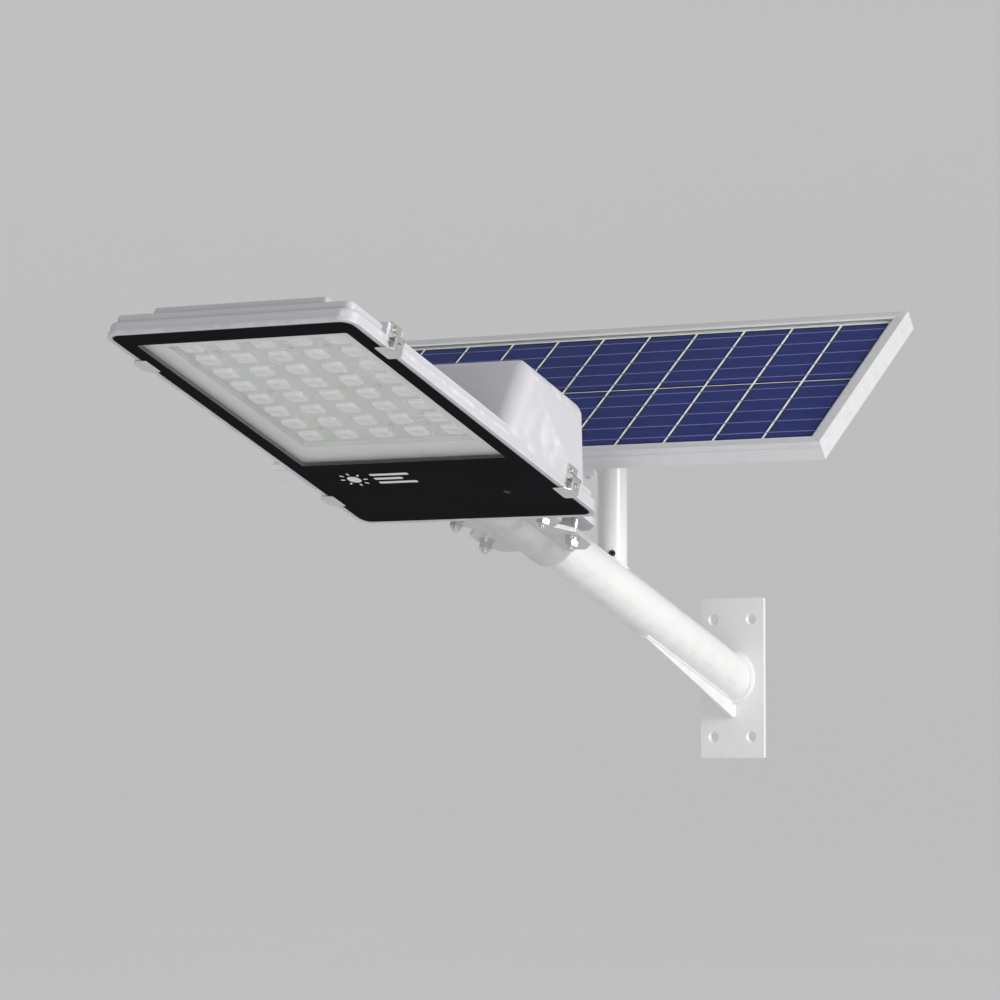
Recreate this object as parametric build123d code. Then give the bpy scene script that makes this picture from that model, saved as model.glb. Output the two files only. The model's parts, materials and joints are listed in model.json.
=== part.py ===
from build123d import *
import os
from math import atan2, cos, radians, sin, sqrt, tan

# Solar street lamp on a wall arm, in millimetres. +Z is up, +X runs along the wall, +Y points into the wall.
# The origin is the centre of the wall plate's back face. A straight arm rises away from the wall along -Y,
# a post on it carries a framed solar panel on a swivel and tilt head, and a die-cast lamp head with its own
# battery is clamped round the arm's outer end.

# ---- wall plate ----
PLATE_WIDTH = 80.0
PLATE_HEIGHT = 180.0
PLATE_THICK = 5.0
PLATE_CORNER = 2.0
PLATE_HOLE_PITCH_X = 48.0
PLATE_HOLE_PITCH_Z = 132.0
PLATE_HOLE_DIA = 8.5
PLATE_SINK_DIA = 13.0

# ---- arm, rib and post ----
ARM_DIA = 50.0
ARM_WALL = 2.5
ARM_RISE = 19.0  # degrees above the horizontal
RIB_REACH = 201.0  # from the plate, measured along -Y
RIB_DROP = 45.0  # below the plate's centre
RIB_TIP = 3.0
RIB_THICK = 5.0
POST_DIA = 32.0
POST_WALL = 2.0
POST_OUT = 277.0  # from the wall face to the post's axis
POST_TOP = 232.0
WIRE_HOLE_DIA = 14.0
GROMMET_RISE = 8.0  # above the arm's top line
GROMMET_TURN = -62.0  # degrees round the post from +X
GROMMET_HOLE_DIA = 5.0
GROMMET_FLANGE_DIA = 7.4
GROMMET_FLANGE_THICK = 1.2
GROMMET_BORE_DIA = 3.2
SET_SCREW_DIA = 6.0
SET_SCREW_SINK = 0.4  # outer end below the post's surface
SET_SCREW_SOCKET_FLATS = 3.0
SET_SCREW_DROP = 18.0  # below the post's top
SET_SCREW_SPREAD = 60.0  # degrees between the two screws

# ---- swivel and tilt head ----
SLIP = 0.05  # radial clearance of a turning fit
SIDE_GAP = 0.3  # between faces that pass each other
SPIGOT_LENGTH = 42.0
YOKE_BASE_DEPTH = 34.0
YOKE_BASE_THICK = 5.0
YOKE_GAP = 44.0  # between the yoke's ears
EAR_THICK = 5.0
EAR_RADIUS = 13.0
HINGE_RISE = 21.0  # hinge axis above the yoke's base
TILT_BOLT_DIA = 10.0
TILT_BOLT_SPARE = 4.0  # thread past the nut
PANEL_TILT = 36.0  # degrees from the horizontal

# ---- solar panel ----
PANEL_LENGTH = 664.0
PANEL_WIDTH = 256.0
FRAME_DEPTH = 22.0
FRAME_WALL = 1.5
FRAME_LIP = 9.0
FRAME_FLANGE = 15.0
FRAME_GROOVE_DEPTH = 0.6
FRAME_GROOVE_HEIGHT = 1.6
MITRE_GAP = 0.15
GLASS_FIT = 0.3
PANEL_GLASS_THICK = 3.2
CELL_THICK = 0.5
BACKSHEET_THICK = 0.8
CELL_COLUMNS = 11
CELL_ROWS = 2
CELL_MARGIN = 8.0  # white border between the lip and the cells
CELL_GAP_X = 3.4
CELL_GAP_Y = 2.0
PANEL_SHIFT = -22.0  # panel's centre from the hinge, down the slope
PANEL_OFFSET = 48.0  # panel's back from the hinge axis
KEY_LEG = 26.0
KEY_THICK = 3.0
RAIL_OFFSET = 50.0
RAIL_WIDTH = 25.0
RAIL_DEPTH = 10.0
RAIL_WALL = 2.0
RAIL_END_GAP = 3.0
BRACKET_LENGTH = 130.0
BRACKET_WIDTH = 60.0
BRACKET_THICK = 4.0
BRACKET_BOLT_PITCH = 40.0
JUNCTION_X = 190.0
JUNCTION_Y = 50.0
JUNCTION_LENGTH = 84.0
JUNCTION_WIDTH = 60.0
JUNCTION_DEPTH = 14.0
JUNCTION_WALL = 2.0
JUNCTION_LID_THICK = 2.0
JUNCTION_GLAND_FLATS = 10.0
JUNCTION_GLAND_CAP_DIA = 8.0
JUNCTION_GLAND_THREAD_DIA = 6.0
JUNCTION_GLAND_NUT = 5.0
JUNCTION_GLAND_CAP = 10.0
JUNCTION_GLAND_TAIL = 4.0
CORD_BORE_DIA = 4.5
TERMINAL_LENGTH = 16.0
TERMINAL_WIDTH = 12.0
TERMINAL_OUT = 16.8  # terminal's centre from the box's

# ---- lamp head ----
LAMP_REACH = 571.0  # from the plate's front, along the arm, to the glass's near edge
AXIS_HEIGHT = 35.0  # arm axis above the glass's outer face
TUBE_END_GAP = 8.0  # arm tube's end short of the glass's near edge
GLASS_WIDTH = 274.0
GLASS_LENGTH = 478.0
GLASS_THICK = 4.0
GLASS_CORNER = 12.0
GASKET_THICK = 3.0
GASKET_WIDTH = 6.0
LIP_WIDTH = 4.0  # casting's rim round the glass
RIM_PROUD = 1.2
RIM_HEIGHT = 3.5
FLANK_HEIGHT = 14.0
STEP_INSET = 6.0
STEP_HEIGHT = 23.0
CEILING_THICK = 3.0
PLATEAU_WIDTH = 203.0
PLATEAU_SETBACK = 13.0
PLATEAU_HEIGHT = 33.0
PLATEAU_DRAFT = 14.0  # degrees
FIN_COUNT = 9
FIN_GROOVE_WIDTH = 6.0
FIN_GROOVE_DEPTH = 6.0
FIN_END = 14.0
TOP_ROUND = 2.5
BOX_REAR_FOOT = 32.5  # distances from the glass's near edge
BOX_REAR_TOP = 64.0
BOX_FRONT_TOP = 166.0
BOX_FRONT_FOOT = 184.6
BOX_FOOT_HEIGHT = 22.0
BOX_HEIGHT = 100.0
BOX_BASE = 8.0
BOX_SIDE_ROUND = 24.0
BOX_END_ROUND = 9.0
BOX_FRONT_ROUND = 20.0  # upright edges towards the fins
BOX_REAR_ROUND = 6.0
BOX_WALL = 4.0
EYE_X = 121.0
EYE_OUT = 458.0
EYE_WIDTH = 9.0
EYE_THICK = 4.0
EYE_HEIGHT = 7.0
EYE_HOLE_DIA = 4.0

# ---- clamp round the arm ----
SADDLE_WALL = 5.0
SADDLE_END = 148.0  # clamp's far end behind the glass's near edge
TAIL_END = 136.0
FLANGE_START = 12.0
FLANGE_END = 136.0
FLANGE_HALF = 64.0
FLANGE_WAIST = 47.0
FLANGE_CUT = 13.0
LOWER_FLANGE_TOP = -12.0  # from the arm's axis
LOWER_FLANGE_THICK = 5.0
UPPER_FLANGE_BASE = 4.0
UPPER_FLANGE_THICK = 7.0
CLAMP_BOLT_DIA = 8.0
CLAMP_BOLT_PITCH_X = 104.0
CLAMP_BOLT_NEAR = 42.5
CLAMP_BOLT_FAR = 104.0
CLAMP_BOLT_SPARE = 4.0
WEB_THICK = 5.0
WEB_OFFSET = 28.0

# ---- cover latches ----
LATCH_NEAR = 61.0
LATCH_FAR = 408.0
PAD_LENGTH = 26.0
PAD_TOP = 25.0
LATCH_SHEET = 1.2
LATCH_BASE_LENGTH = 19.0
LATCH_BASE_LOW = 5.5
LATCH_BASE_HIGH = 27.0
LATCH_PIN_DIA = 3.0
LATCH_PIN_HEIGHT = 13.0
LATCH_PIN_OUT = 5.2  # pin axis from the casting's flank
LATCH_WIDTH = 14.0
LATCH_BARREL_WALL = 1.2
LATCH_FOOT_LENGTH = 27.0
LATCH_FOOT_OVERLAP = 7.0
LATCH_SCREW_HEIGHT = 22.0
LATCH_SCREW_DIA = 4.0
LATCH_SLOT_WIDTH = 4.7
LATCH_SLOT_LOW = 2.6
LATCH_SLOT_HIGH = 8.45

# ---- light engine ----
LED_COLUMNS = 5
LED_ROWS = 8
LED_PITCH_X = 41.8
LED_PITCH_Y = 31.4
LED_MIDDLE = 306.5  # centre of the grid from the glass's near edge
LED_SIZE = 5.0
LED_THICK = 0.8
BOARD_THICK = 1.6
BOARD_MARGIN = 18.0
LENS_PLATE_THICK = 1.6
LENS_RISE = 3.4
LENS_LENGTH_X = 25.0
LENS_LENGTH_Y = 20.0
LENS_CORNER = 5.0
LENS_DRAFT = 12.0
LENS_POCKET = 1.0
REFLECTOR_THICK = 1.2
REFLECTOR_HEIGHT = 9.0
REFLECTOR_SIDE = 124.0
REFLECTOR_NEAR = 145.0
REFLECTOR_FAR = 462.0
REFLECTOR_SKIRT = 2.0
BOARD_SCREW_DIA = 3.0
BOARD_SCREW_HEAD = 5.6
BOARD_SCREW_HEAD_THICK = 1.8

# ---- battery and controller ----
GEAR_PLATE_THICK = 1.2
GEAR_NEAR = 44.0
GEAR_FAR = 174.0
GEAR_SIDE = 136.5
GEAR_SCREW_HEAD = 3.92
GEAR_SCREW_LENGTH = 4.4
CELL_DIA = 32.6
CELL_LENGTH = 70.5
CELL_SPACING = 1.4  # between neighbouring cells
CELLS_ACROSS = 4
CELLS_HIGH = 2
PACK_X = 18.0
PACK_NEAR = 70.0
HOLDER_THICK = 8.0
HOLDER_POCKET = 4.0
HOLDER_EDGE = 2.0
STRAP_WIDTH = 18.0
STRAP_FOOT = 14.0
BOARD_X = -97.0
BOARD_WIDTH = 52.0
BOARD_LENGTH = 92.0
BOARD_NEAR = 64.0
CASE_HEIGHT = 24.0
CASE_WALL = 2.0
PILLAR_DIA = 6.0
PILLAR_INSET = 6.0  # from the case's outside
COIL_DIA = 18.0
COIL_BORE = 8.0
COIL_HEIGHT = 8.0
CAPACITOR_DIA = 10.0
CAPACITOR_HEIGHT = 12.0
CAPACITOR_X = 12.0  # from the board's centre
CAPACITOR_Y = 24.0
CHIP_SIZE = 8.0
CHIP_THICK = 2.0
CHIP_Y = -14.0
TERMINAL_STRIP_INSET = 6.0
TERMINAL_STRIP_MARGIN = 8.0
BOARD_STAND = 5.0
SENSOR_X = 73.0
SENSOR_OUT = 66.0
SENSOR_DIA = 6.0
SENSOR_SLEEVE_DIA = 10.0
GLAND_X = -52.0
GLAND_HEIGHT = 38.0
GLAND_THREAD_DIA = 12.0
GLAND_FLATS = 16.0
GLAND_NUT = 4.0
GLAND_CAP_DIA = 13.6
GLAND_CAP = 14.4
GLAND_BORE_DIA = 6.9

# ---- fasteners ----
HOLE_FIT = 0.25  # radial, round a bolt
THREAD_FIT = 0.05  # radial, between a bolt and its nut
HEAD_HEIGHT_SHARE = 0.65  # hexagon head height over thread diameter
NUT_HEIGHT_SHARE = 0.8
FLATS_SHARE = 1.625  # across flats over thread diameter
WASHER_SHARE = 2.0
WASHER_THICK = 1.6
SPRING_WASHER_THICK = 2.0
SPRING_WASHER_SHARE = 1.8
RAIL_BOLT_DIA = 6.0
SCREW_EMBED = 3.0
PAN_HEAD_SHARE = 1.8

# ---- worked out from the values above ----
ARM_RADIUS = ARM_DIA / 2
POST_RADIUS = POST_DIA / 2
HINGE_Z = POST_TOP + YOKE_BASE_THICK + HINGE_RISE
HOUSING_WIDTH = GLASS_WIDTH + 2 * LIP_WIDTH
HOUSING_LENGTH = GLASS_LENGTH + 2 * LIP_WIDTH
FLANK = HOUSING_WIDTH / 2
LEDGE_HEIGHT = GLASS_THICK + GASKET_THICK
CELL_PITCH = CELL_DIA + CELL_SPACING
CAVITY_HALF = GLASS_WIDTH / 2 - GASKET_WIDTH
CEILING = STEP_HEIGHT - CEILING_THICK
BOX_FLOOR = BOX_BASE + BOX_WALL
BOARD_FACE = CEILING - BOARD_THICK
LENS_BASE = BOARD_FACE - LENS_POCKET
LENS_FACE = LENS_BASE - LENS_PLATE_THICK
ARM_FRAME = Location((0, -PLATE_THICK, 0), (-ARM_RISE, 0, 0))  # Y runs down the arm to the wall
LAMP_FRAME = ARM_FRAME * Location((0, -LAMP_REACH, -AXIS_HEIGHT))  # origin on the glass's near edge
PANEL_FRAME = Location((0, -POST_OUT, HINGE_Z), (PANEL_TILT, 0, 0))  # origin on the tilt hinge
UP = (0, 0, 1)
DOWN = (0, 0, -1)
MID = (Align.CENTER, Align.CENTER, Align.MIN)


# ---- helpers ----
def block(x0, x1, y0, y1, z0, z1):
    """A box between two opposite corners."""
    middle = Pos((x0 + x1) / 2, (y0 + y1) / 2, (z0 + z1) / 2)
    return middle * Box(x1 - x0, y1 - y0, z1 - z0)


def rod(start, direction, radius, length):
    """A round bar from a point along a direction."""
    return Plane(origin=start, z_dir=direction) * Cylinder(radius, length, align=MID)


def ring(start, direction, outer, inner, length):
    """A washer or a short tube."""
    return rod(start, direction, outer, length) - rod(start, direction, inner, length)


def hexagon(start, direction, flats, length):
    """A hexagonal prism."""
    return Plane(origin=start, z_dir=direction) * extrude(RegularPolygon(flats / sqrt(3), 6), length)


def slab(width, length, corner, y_mid, z0, z1):
    """A flat plate with rounded plan corners."""
    return extrude(Pos(0, y_mid, z0) * RectangleRounded(width, length, corner), z1 - z0)


def along(start, direction, distance):
    """The point a distance from start along a direction."""
    way = Vector(*direction).normalized()
    return tuple(Vector(*start) + way * distance)


def bolt(start, direction, dia, length):
    """A hexagon bolt: start is under the head, and the shank runs along direction."""
    back = tuple(Vector(*direction) * -1)
    head = hexagon(start, back, dia * FLATS_SHARE, dia * HEAD_HEIGHT_SHARE)
    return rod(start, direction, dia / 2, length) + head


def nut(start, direction, dia):
    """A hexagon nut with its thread bored."""
    height = dia * NUT_HEIGHT_SHARE
    body = hexagon(start, direction, dia * FLATS_SHARE, height)
    return body - rod(start, direction, dia / 2 + THREAD_FIT, height)


def washer(start, direction, dia, thick):
    """A plain washer on a bolt."""
    return ring(start, direction, dia * WASHER_SHARE / 2, dia / 2 + HOLE_FIT, thick)


def screw(start, direction, dia, length, head_dia, head_thick):
    """A pan-head screw: start is under the head, and the shank runs along direction."""
    back = tuple(Vector(*direction) * -1)
    return rod(start, direction, dia / 2, length) + rod(start, back, head_dia / 2, head_thick)


def save(name, frame, *shapes):
    """Writes one node: every solid of the given shapes, placed by its frame."""
    solids = []
    for shape in shapes:
        solids.extend((frame * shape).solids())
    export_step(Compound(children=solids) if len(solids) > 1 else solids[0], f"parts/{name}.step")


# ---- wall plate, arm, rib and post ----
def wall_plate():
    plate = block(-PLATE_WIDTH / 2, PLATE_WIDTH / 2, -PLATE_THICK, 0, -PLATE_HEIGHT / 2, PLATE_HEIGHT / 2)
    plate = fillet(plate.edges().filter_by(Axis.Y), PLATE_CORNER)
    sink_depth = (PLATE_SINK_DIA - PLATE_HOLE_DIA) / 2
    for x in (-PLATE_HOLE_PITCH_X / 2, PLATE_HOLE_PITCH_X / 2):
        for z in (-PLATE_HOLE_PITCH_Z / 2, PLATE_HOLE_PITCH_Z / 2):
            plate -= rod((x, 0, z), (0, -1, 0), PLATE_HOLE_DIA / 2, PLATE_THICK)
            sink = Cone(PLATE_HOLE_DIA / 2, PLATE_SINK_DIA / 2, sink_depth, align=MID)
            plate -= Plane(origin=(x, sink_depth - PLATE_THICK, z), z_dir=(0, -1, 0)) * sink
    return plate


def arm_axis_z(y):
    """Height of the arm's axis at a distance from the wall."""
    return (-y - PLATE_THICK) * tan(radians(ARM_RISE))


def arm_cylinder(radius, lead, end_gap):
    """A cylinder on the arm's axis from lead inside the wall plate to its gap at the lamp."""
    length = lead + LAMP_REACH - end_gap
    return ARM_FRAME * rod((0, lead, 0), (0, -1, 0), radius, length)


def post_cylinder(radius, base, top):
    return rod((0, -POST_OUT, base), UP, radius, top - base)


def arm_tube():
    tube = arm_cylinder(ARM_RADIUS, ARM_DIA, TUBE_END_GAP) - arm_cylinder(ARM_RADIUS - ARM_WALL, ARM_DIA, 0)
    tube -= block(-ARM_DIA, ARM_DIA, -PLATE_THICK, ARM_DIA * 2, -ARM_DIA * 2, ARM_DIA * 2)
    axis_z = arm_axis_z(-POST_OUT)
    tube -= post_cylinder(WIRE_HOLE_DIA / 2, axis_z, axis_z + ARM_DIA)
    return tube


def rib():
    tip_z = arm_axis_z(-RIB_REACH - PLATE_THICK)
    under = tip_z - ARM_RADIUS / cos(radians(ARM_RISE)) - RIB_TIP
    outline = Plane.YZ * Polygon(
        (-PLATE_THICK, -RIB_DROP),
        (-PLATE_THICK, 0),
        (-PLATE_THICK - RIB_REACH, tip_z),
        (-PLATE_THICK - RIB_REACH, under),
        align=None,
    )
    return extrude(outline, RIB_THICK / 2, both=True) - arm_cylinder(ARM_RADIUS, ARM_DIA, 0)


def grommet_place():
    """Centre of the grommet's hole on the post's outside, and its outward direction."""
    way = (cos(radians(GROMMET_TURN)), sin(radians(GROMMET_TURN)), 0)
    z = arm_axis_z(-POST_OUT) + ARM_RADIUS / cos(radians(ARM_RISE)) + GROMMET_RISE
    return along((0, -POST_OUT, z), way, POST_RADIUS), way


def set_screw_ways():
    """Directions of the two locking screws, on the side of the post that faces the wall."""
    turns = (90 - SET_SCREW_SPREAD / 2, 90 + SET_SCREW_SPREAD / 2)
    return [(cos(radians(turn)), sin(radians(turn)), 0) for turn in turns]


def panel_post():
    base = arm_axis_z(-POST_OUT)
    post = post_cylinder(POST_RADIUS, base, POST_TOP) - post_cylinder(POST_RADIUS - POST_WALL, base, POST_TOP)
    post -= arm_cylinder(ARM_RADIUS, ARM_DIA, 0)
    centre, way = grommet_place()
    post -= rod(along(centre, way, -POST_RADIUS), way, GROMMET_HOLE_DIA / 2, POST_DIA)
    for way in set_screw_ways():
        post -= rod((0, -POST_OUT, POST_TOP - SET_SCREW_DROP), way, SET_SCREW_DIA / 2 + THREAD_FIT, POST_DIA)
    return post


def post_grommet():
    centre, way = grommet_place()
    inside = POST_WALL + GROMMET_FLANGE_THICK
    body = rod(along(centre, way, -inside), way, GROMMET_HOLE_DIA / 2, inside)
    body += rod(centre, way, GROMMET_FLANGE_DIA / 2, GROMMET_FLANGE_THICK)
    body -= rod(along(centre, way, -POST_DIA), way, GROMMET_BORE_DIA / 2, POST_DIA * 2)
    wall = post_cylinder(POST_RADIUS, 0, POST_TOP) - post_cylinder(POST_RADIUS - POST_WALL, 0, POST_TOP)
    return body - (wall - rod(along(centre, way, -POST_RADIUS), way, GROMMET_HOLE_DIA / 2, POST_DIA))


def set_screws():
    """Headless socket screws through the post's wall, with their ends on the spigot."""
    tip = POST_RADIUS - POST_WALL - SLIP + THREAD_FIT
    end = POST_RADIUS - SET_SCREW_SINK
    shapes = []
    for way in set_screw_ways():
        centre = (0, -POST_OUT, POST_TOP - SET_SCREW_DROP)
        body = rod(along(centre, way, tip), way, SET_SCREW_DIA / 2, end - tip)
        socket = hexagon(along(centre, way, (tip + end) / 2), way, SET_SCREW_SOCKET_FLATS, end - tip)
        shapes.append(body - socket)
    return shapes


# ---- swivel and tilt head ----
def swivel_yoke():
    half = YOKE_GAP / 2 + EAR_THICK
    spigot = rod((0, -POST_OUT, POST_TOP - SPIGOT_LENGTH), UP, POST_RADIUS - POST_WALL - SLIP, SPIGOT_LENGTH)
    bore = POST_RADIUS - POST_WALL * 3
    y0 = -POST_OUT - YOKE_BASE_DEPTH / 2
    y1 = -POST_OUT + YOKE_BASE_DEPTH / 2
    yoke = spigot + block(-half, half, y0, y1, POST_TOP, POST_TOP + YOKE_BASE_THICK)
    yoke -= rod((0, -POST_OUT, POST_TOP - SPIGOT_LENGTH), UP, bore, SPIGOT_LENGTH + YOKE_BASE_THICK)
    for side in (-1, 1):
        inner = side * YOKE_GAP / 2
        outer = side * half
        ear = Plane.YZ * Polygon(
            (y0, POST_TOP + YOKE_BASE_THICK),
            (y1, POST_TOP + YOKE_BASE_THICK),
            (-POST_OUT + EAR_RADIUS, HINGE_Z),
            (-POST_OUT - EAR_RADIUS, HINGE_Z),
            align=None,
        )
        x0 = min(inner, outer)
        yoke += Pos(x0, 0, 0) * extrude(ear, EAR_THICK, dir=(1, 0, 0))
        yoke += rod((x0, -POST_OUT, HINGE_Z), (1, 0, 0), EAR_RADIUS, EAR_THICK)
    yoke -= rod((-half, -POST_OUT, HINGE_Z), (1, 0, 0), TILT_BOLT_DIA / 2 + SLIP, half * 2)
    return yoke


def tilt_bolt():
    half = YOKE_GAP / 2 + EAR_THICK
    grip = half * 2 + 2 * WASHER_THICK + TILT_BOLT_DIA * NUT_HEIGHT_SHARE + TILT_BOLT_SPARE
    return bolt((half + WASHER_THICK, -POST_OUT, HINGE_Z), (-1, 0, 0), TILT_BOLT_DIA, grip)


def tilt_washers():
    half = YOKE_GAP / 2 + EAR_THICK
    left = washer((-half - WASHER_THICK, -POST_OUT, HINGE_Z), (1, 0, 0), TILT_BOLT_DIA, WASHER_THICK)
    right = washer((half, -POST_OUT, HINGE_Z), (1, 0, 0), TILT_BOLT_DIA, WASHER_THICK)
    return [left, right]


def tilt_nut():
    half = YOKE_GAP / 2 + EAR_THICK + WASHER_THICK
    return nut((-half, -POST_OUT, HINGE_Z), (-1, 0, 0), TILT_BOLT_DIA)


# ---- solar panel, in the tilt hinge's frame: Y up the slope, Z square to the panel ----
def frame_bar(length):
    """One mitred bar along X with its outside at Y = 0, its back at Z = 0 and its flanges towards +Y."""
    half = length / 2
    laminate = PANEL_GLASS_THICK + CELL_THICK + BACKSHEET_THICK
    seat = FRAME_DEPTH - FRAME_WALL - laminate
    bar = block(-half, half, 0, FRAME_WALL, 0, FRAME_DEPTH)
    bar += block(-half, half, 0, FRAME_LIP, FRAME_DEPTH - FRAME_WALL, FRAME_DEPTH)
    bar += block(-half, half, 0, FRAME_LIP, seat - FRAME_WALL, seat)
    bar += block(-half, half, 0, FRAME_FLANGE, 0, FRAME_WALL)
    groove_base = seat - FRAME_WALL
    bar -= block(-half, half, 0, FRAME_GROOVE_DEPTH, groove_base, groove_base + FRAME_GROOVE_HEIGHT)
    reach = half - MITRE_GAP
    mitre = Polygon(
        (-reach, 0), (reach, 0), (reach - FRAME_FLANGE, FRAME_FLANGE), (FRAME_FLANGE - reach, FRAME_FLANGE),
        align=None,
    )
    return bar & extrude(mitre, FRAME_DEPTH)


def frame_bars():
    """The four bars by side name."""
    middle = Pos(0, PANEL_SHIFT, PANEL_OFFSET)
    long_bar = Pos(0, -PANEL_WIDTH / 2, 0) * frame_bar(PANEL_LENGTH)
    short_bar = Pos(0, -PANEL_LENGTH / 2, 0) * frame_bar(PANEL_WIDTH)
    return {
        "bottom": middle * long_bar,
        "top": middle * Rot(0, 0, 180) * long_bar,
        "right": middle * Rot(0, 0, 90) * short_bar,
        "left": middle * Rot(0, 0, -90) * short_bar,
    }


def seat_height():
    """Height of the frame's ledge, where the backsheet rests."""
    return PANEL_OFFSET + FRAME_DEPTH - FRAME_WALL - PANEL_GLASS_THICK - CELL_THICK - BACKSHEET_THICK


def laminate_layer(base, thick):
    half_x = PANEL_LENGTH / 2 - FRAME_WALL - GLASS_FIT
    half_y = PANEL_WIDTH / 2 - FRAME_WALL - GLASS_FIT
    return block(-half_x, half_x, PANEL_SHIFT - half_y, PANEL_SHIFT + half_y, base, base + thick)


def panel_cells():
    field_x = PANEL_LENGTH - 2 * FRAME_LIP - 2 * CELL_MARGIN
    field_y = PANEL_WIDTH - 2 * FRAME_LIP - 2 * CELL_MARGIN
    size_x = (field_x - (CELL_COLUMNS - 1) * CELL_GAP_X) / CELL_COLUMNS
    size_y = (field_y - (CELL_ROWS - 1) * CELL_GAP_Y) / CELL_ROWS
    base = seat_height() + BACKSHEET_THICK
    cells = []
    for column in range(CELL_COLUMNS):
        x0 = -field_x / 2 + column * (size_x + CELL_GAP_X)
        for row in range(CELL_ROWS):
            y0 = PANEL_SHIFT - field_y / 2 + row * (size_y + CELL_GAP_Y)
            cells.append(block(x0, x0 + size_x, y0, y0 + size_y, base, base + CELL_THICK))
    return cells


def corner_keys():
    """L-shaped keys inside the frame's corners, between the back flange and the ledge."""
    low = PANEL_OFFSET + FRAME_WALL
    high = seat_height() - FRAME_WALL
    keys = []
    for side_x in (-1, 1):
        for side_y in (-1, 1):
            key = block(0, KEY_LEG, 0, KEY_THICK, low, high) + block(0, KEY_THICK, 0, KEY_LEG, low, high)
            if side_x > 0:
                key = mirror(key, Plane.YZ)
            if side_y > 0:
                key = mirror(key, Plane.XZ)
            x = side_x * (PANEL_LENGTH / 2 - FRAME_WALL)
            y = PANEL_SHIFT + side_y * (PANEL_WIDTH / 2 - FRAME_WALL)
            keys.append(Pos(x, y, 0) * key)
    return keys


def rail_bolt_rows():
    """Y positions where a rail is bolted to the frame's back flanges."""
    inset = PANEL_WIDTH / 2 - FRAME_FLANGE / 2 - FRAME_WALL / 2
    return (PANEL_SHIFT - inset, PANEL_SHIFT + inset)


def bracket_bolt_rows():
    return (-BRACKET_BOLT_PITCH / 2, BRACKET_BOLT_PITCH / 2)


def rail(side):
    x = side * RAIL_OFFSET
    low = PANEL_OFFSET - RAIL_DEPTH
    half = PANEL_WIDTH / 2 - RAIL_END_GAP
    w = RAIL_WIDTH / 2
    body = block(x - w, x + w, PANEL_SHIFT - half, PANEL_SHIFT + half, low, PANEL_OFFSET)
    inner = w - RAIL_WALL
    top = PANEL_OFFSET - RAIL_WALL
    body -= block(x - inner, x + inner, PANEL_SHIFT - half, PANEL_SHIFT + half, low + RAIL_WALL, top)
    for y in rail_bolt_rows() + bracket_bolt_rows():
        body -= rod((x, y, low), UP, RAIL_BOLT_DIA / 2 + HOLE_FIT, RAIL_DEPTH)
    return body


def tilt_bracket():
    """The channel on the panel's back: a plate on the rails and two ears down to the hinge."""
    top = PANEL_OFFSET - RAIL_DEPTH
    base = top - BRACKET_THICK
    half_x = BRACKET_LENGTH / 2
    half_y = BRACKET_WIDTH / 2
    bracket = block(-half_x, half_x, -half_y, half_y, base, top)
    ear_outer = YOKE_GAP / 2 - SIDE_GAP
    for side in (-1, 1):
        x0 = min(side * ear_outer, side * (ear_outer - EAR_THICK))
        ear = Plane.YZ * Polygon(
            (-half_y, base), (half_y, base), (EAR_RADIUS, 0), (-EAR_RADIUS, 0), align=None
        )
        bracket += Pos(x0, 0, 0) * extrude(ear, EAR_THICK, dir=(1, 0, 0))
        bracket += rod((x0, 0, 0), (1, 0, 0), EAR_RADIUS, EAR_THICK)
    bracket -= rod((-YOKE_GAP, 0, 0), (1, 0, 0), TILT_BOLT_DIA / 2 + SLIP, YOKE_GAP * 2)
    for side in (-1, 1):
        for y in bracket_bolt_rows():
            bracket -= rod((side * RAIL_OFFSET, y, base), UP, RAIL_BOLT_DIA / 2 + HOLE_FIT, BRACKET_THICK)
    return bracket


def frame_bolt_drills():
    """Clearance holes for the rail bolts through the frame's back flanges."""
    drills = []
    for side in (-1, 1):
        for y in rail_bolt_rows():
            start = (side * RAIL_OFFSET, y, PANEL_OFFSET)
            drills.append(rod(start, UP, RAIL_BOLT_DIA / 2 + HOLE_FIT, FRAME_WALL))
    return drills


def rail_bolts():
    """Bolts that hold the rails to the frame, with heads below the rails."""
    low = PANEL_OFFSET - RAIL_DEPTH
    grip = RAIL_DEPTH + FRAME_WALL + RAIL_BOLT_DIA * NUT_HEIGHT_SHARE + SPRING_WASHER_THICK
    spots = [(side * RAIL_OFFSET, y) for side in (-1, 1) for y in rail_bolt_rows()]
    bolts = [bolt((x, y, low), UP, RAIL_BOLT_DIA, grip) for x, y in spots]
    nuts = [nut((x, y, PANEL_OFFSET + FRAME_WALL), UP, RAIL_BOLT_DIA) for x, y in spots]
    return bolts, nuts


def bracket_bolts():
    """Bolts that hold the bracket to the rails, with nuts behind the rails' far wall."""
    base = PANEL_OFFSET - RAIL_DEPTH - BRACKET_THICK
    grip = BRACKET_THICK + RAIL_DEPTH + RAIL_BOLT_DIA * NUT_HEIGHT_SHARE + SPRING_WASHER_THICK
    spots = [(side * RAIL_OFFSET, y) for side in (-1, 1) for y in bracket_bolt_rows()]
    bolts = [bolt((x, y, base), UP, RAIL_BOLT_DIA, grip) for x, y in spots]
    nuts = [nut((x, y, PANEL_OFFSET), UP, RAIL_BOLT_DIA) for x, y in spots]
    return bolts, nuts


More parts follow.
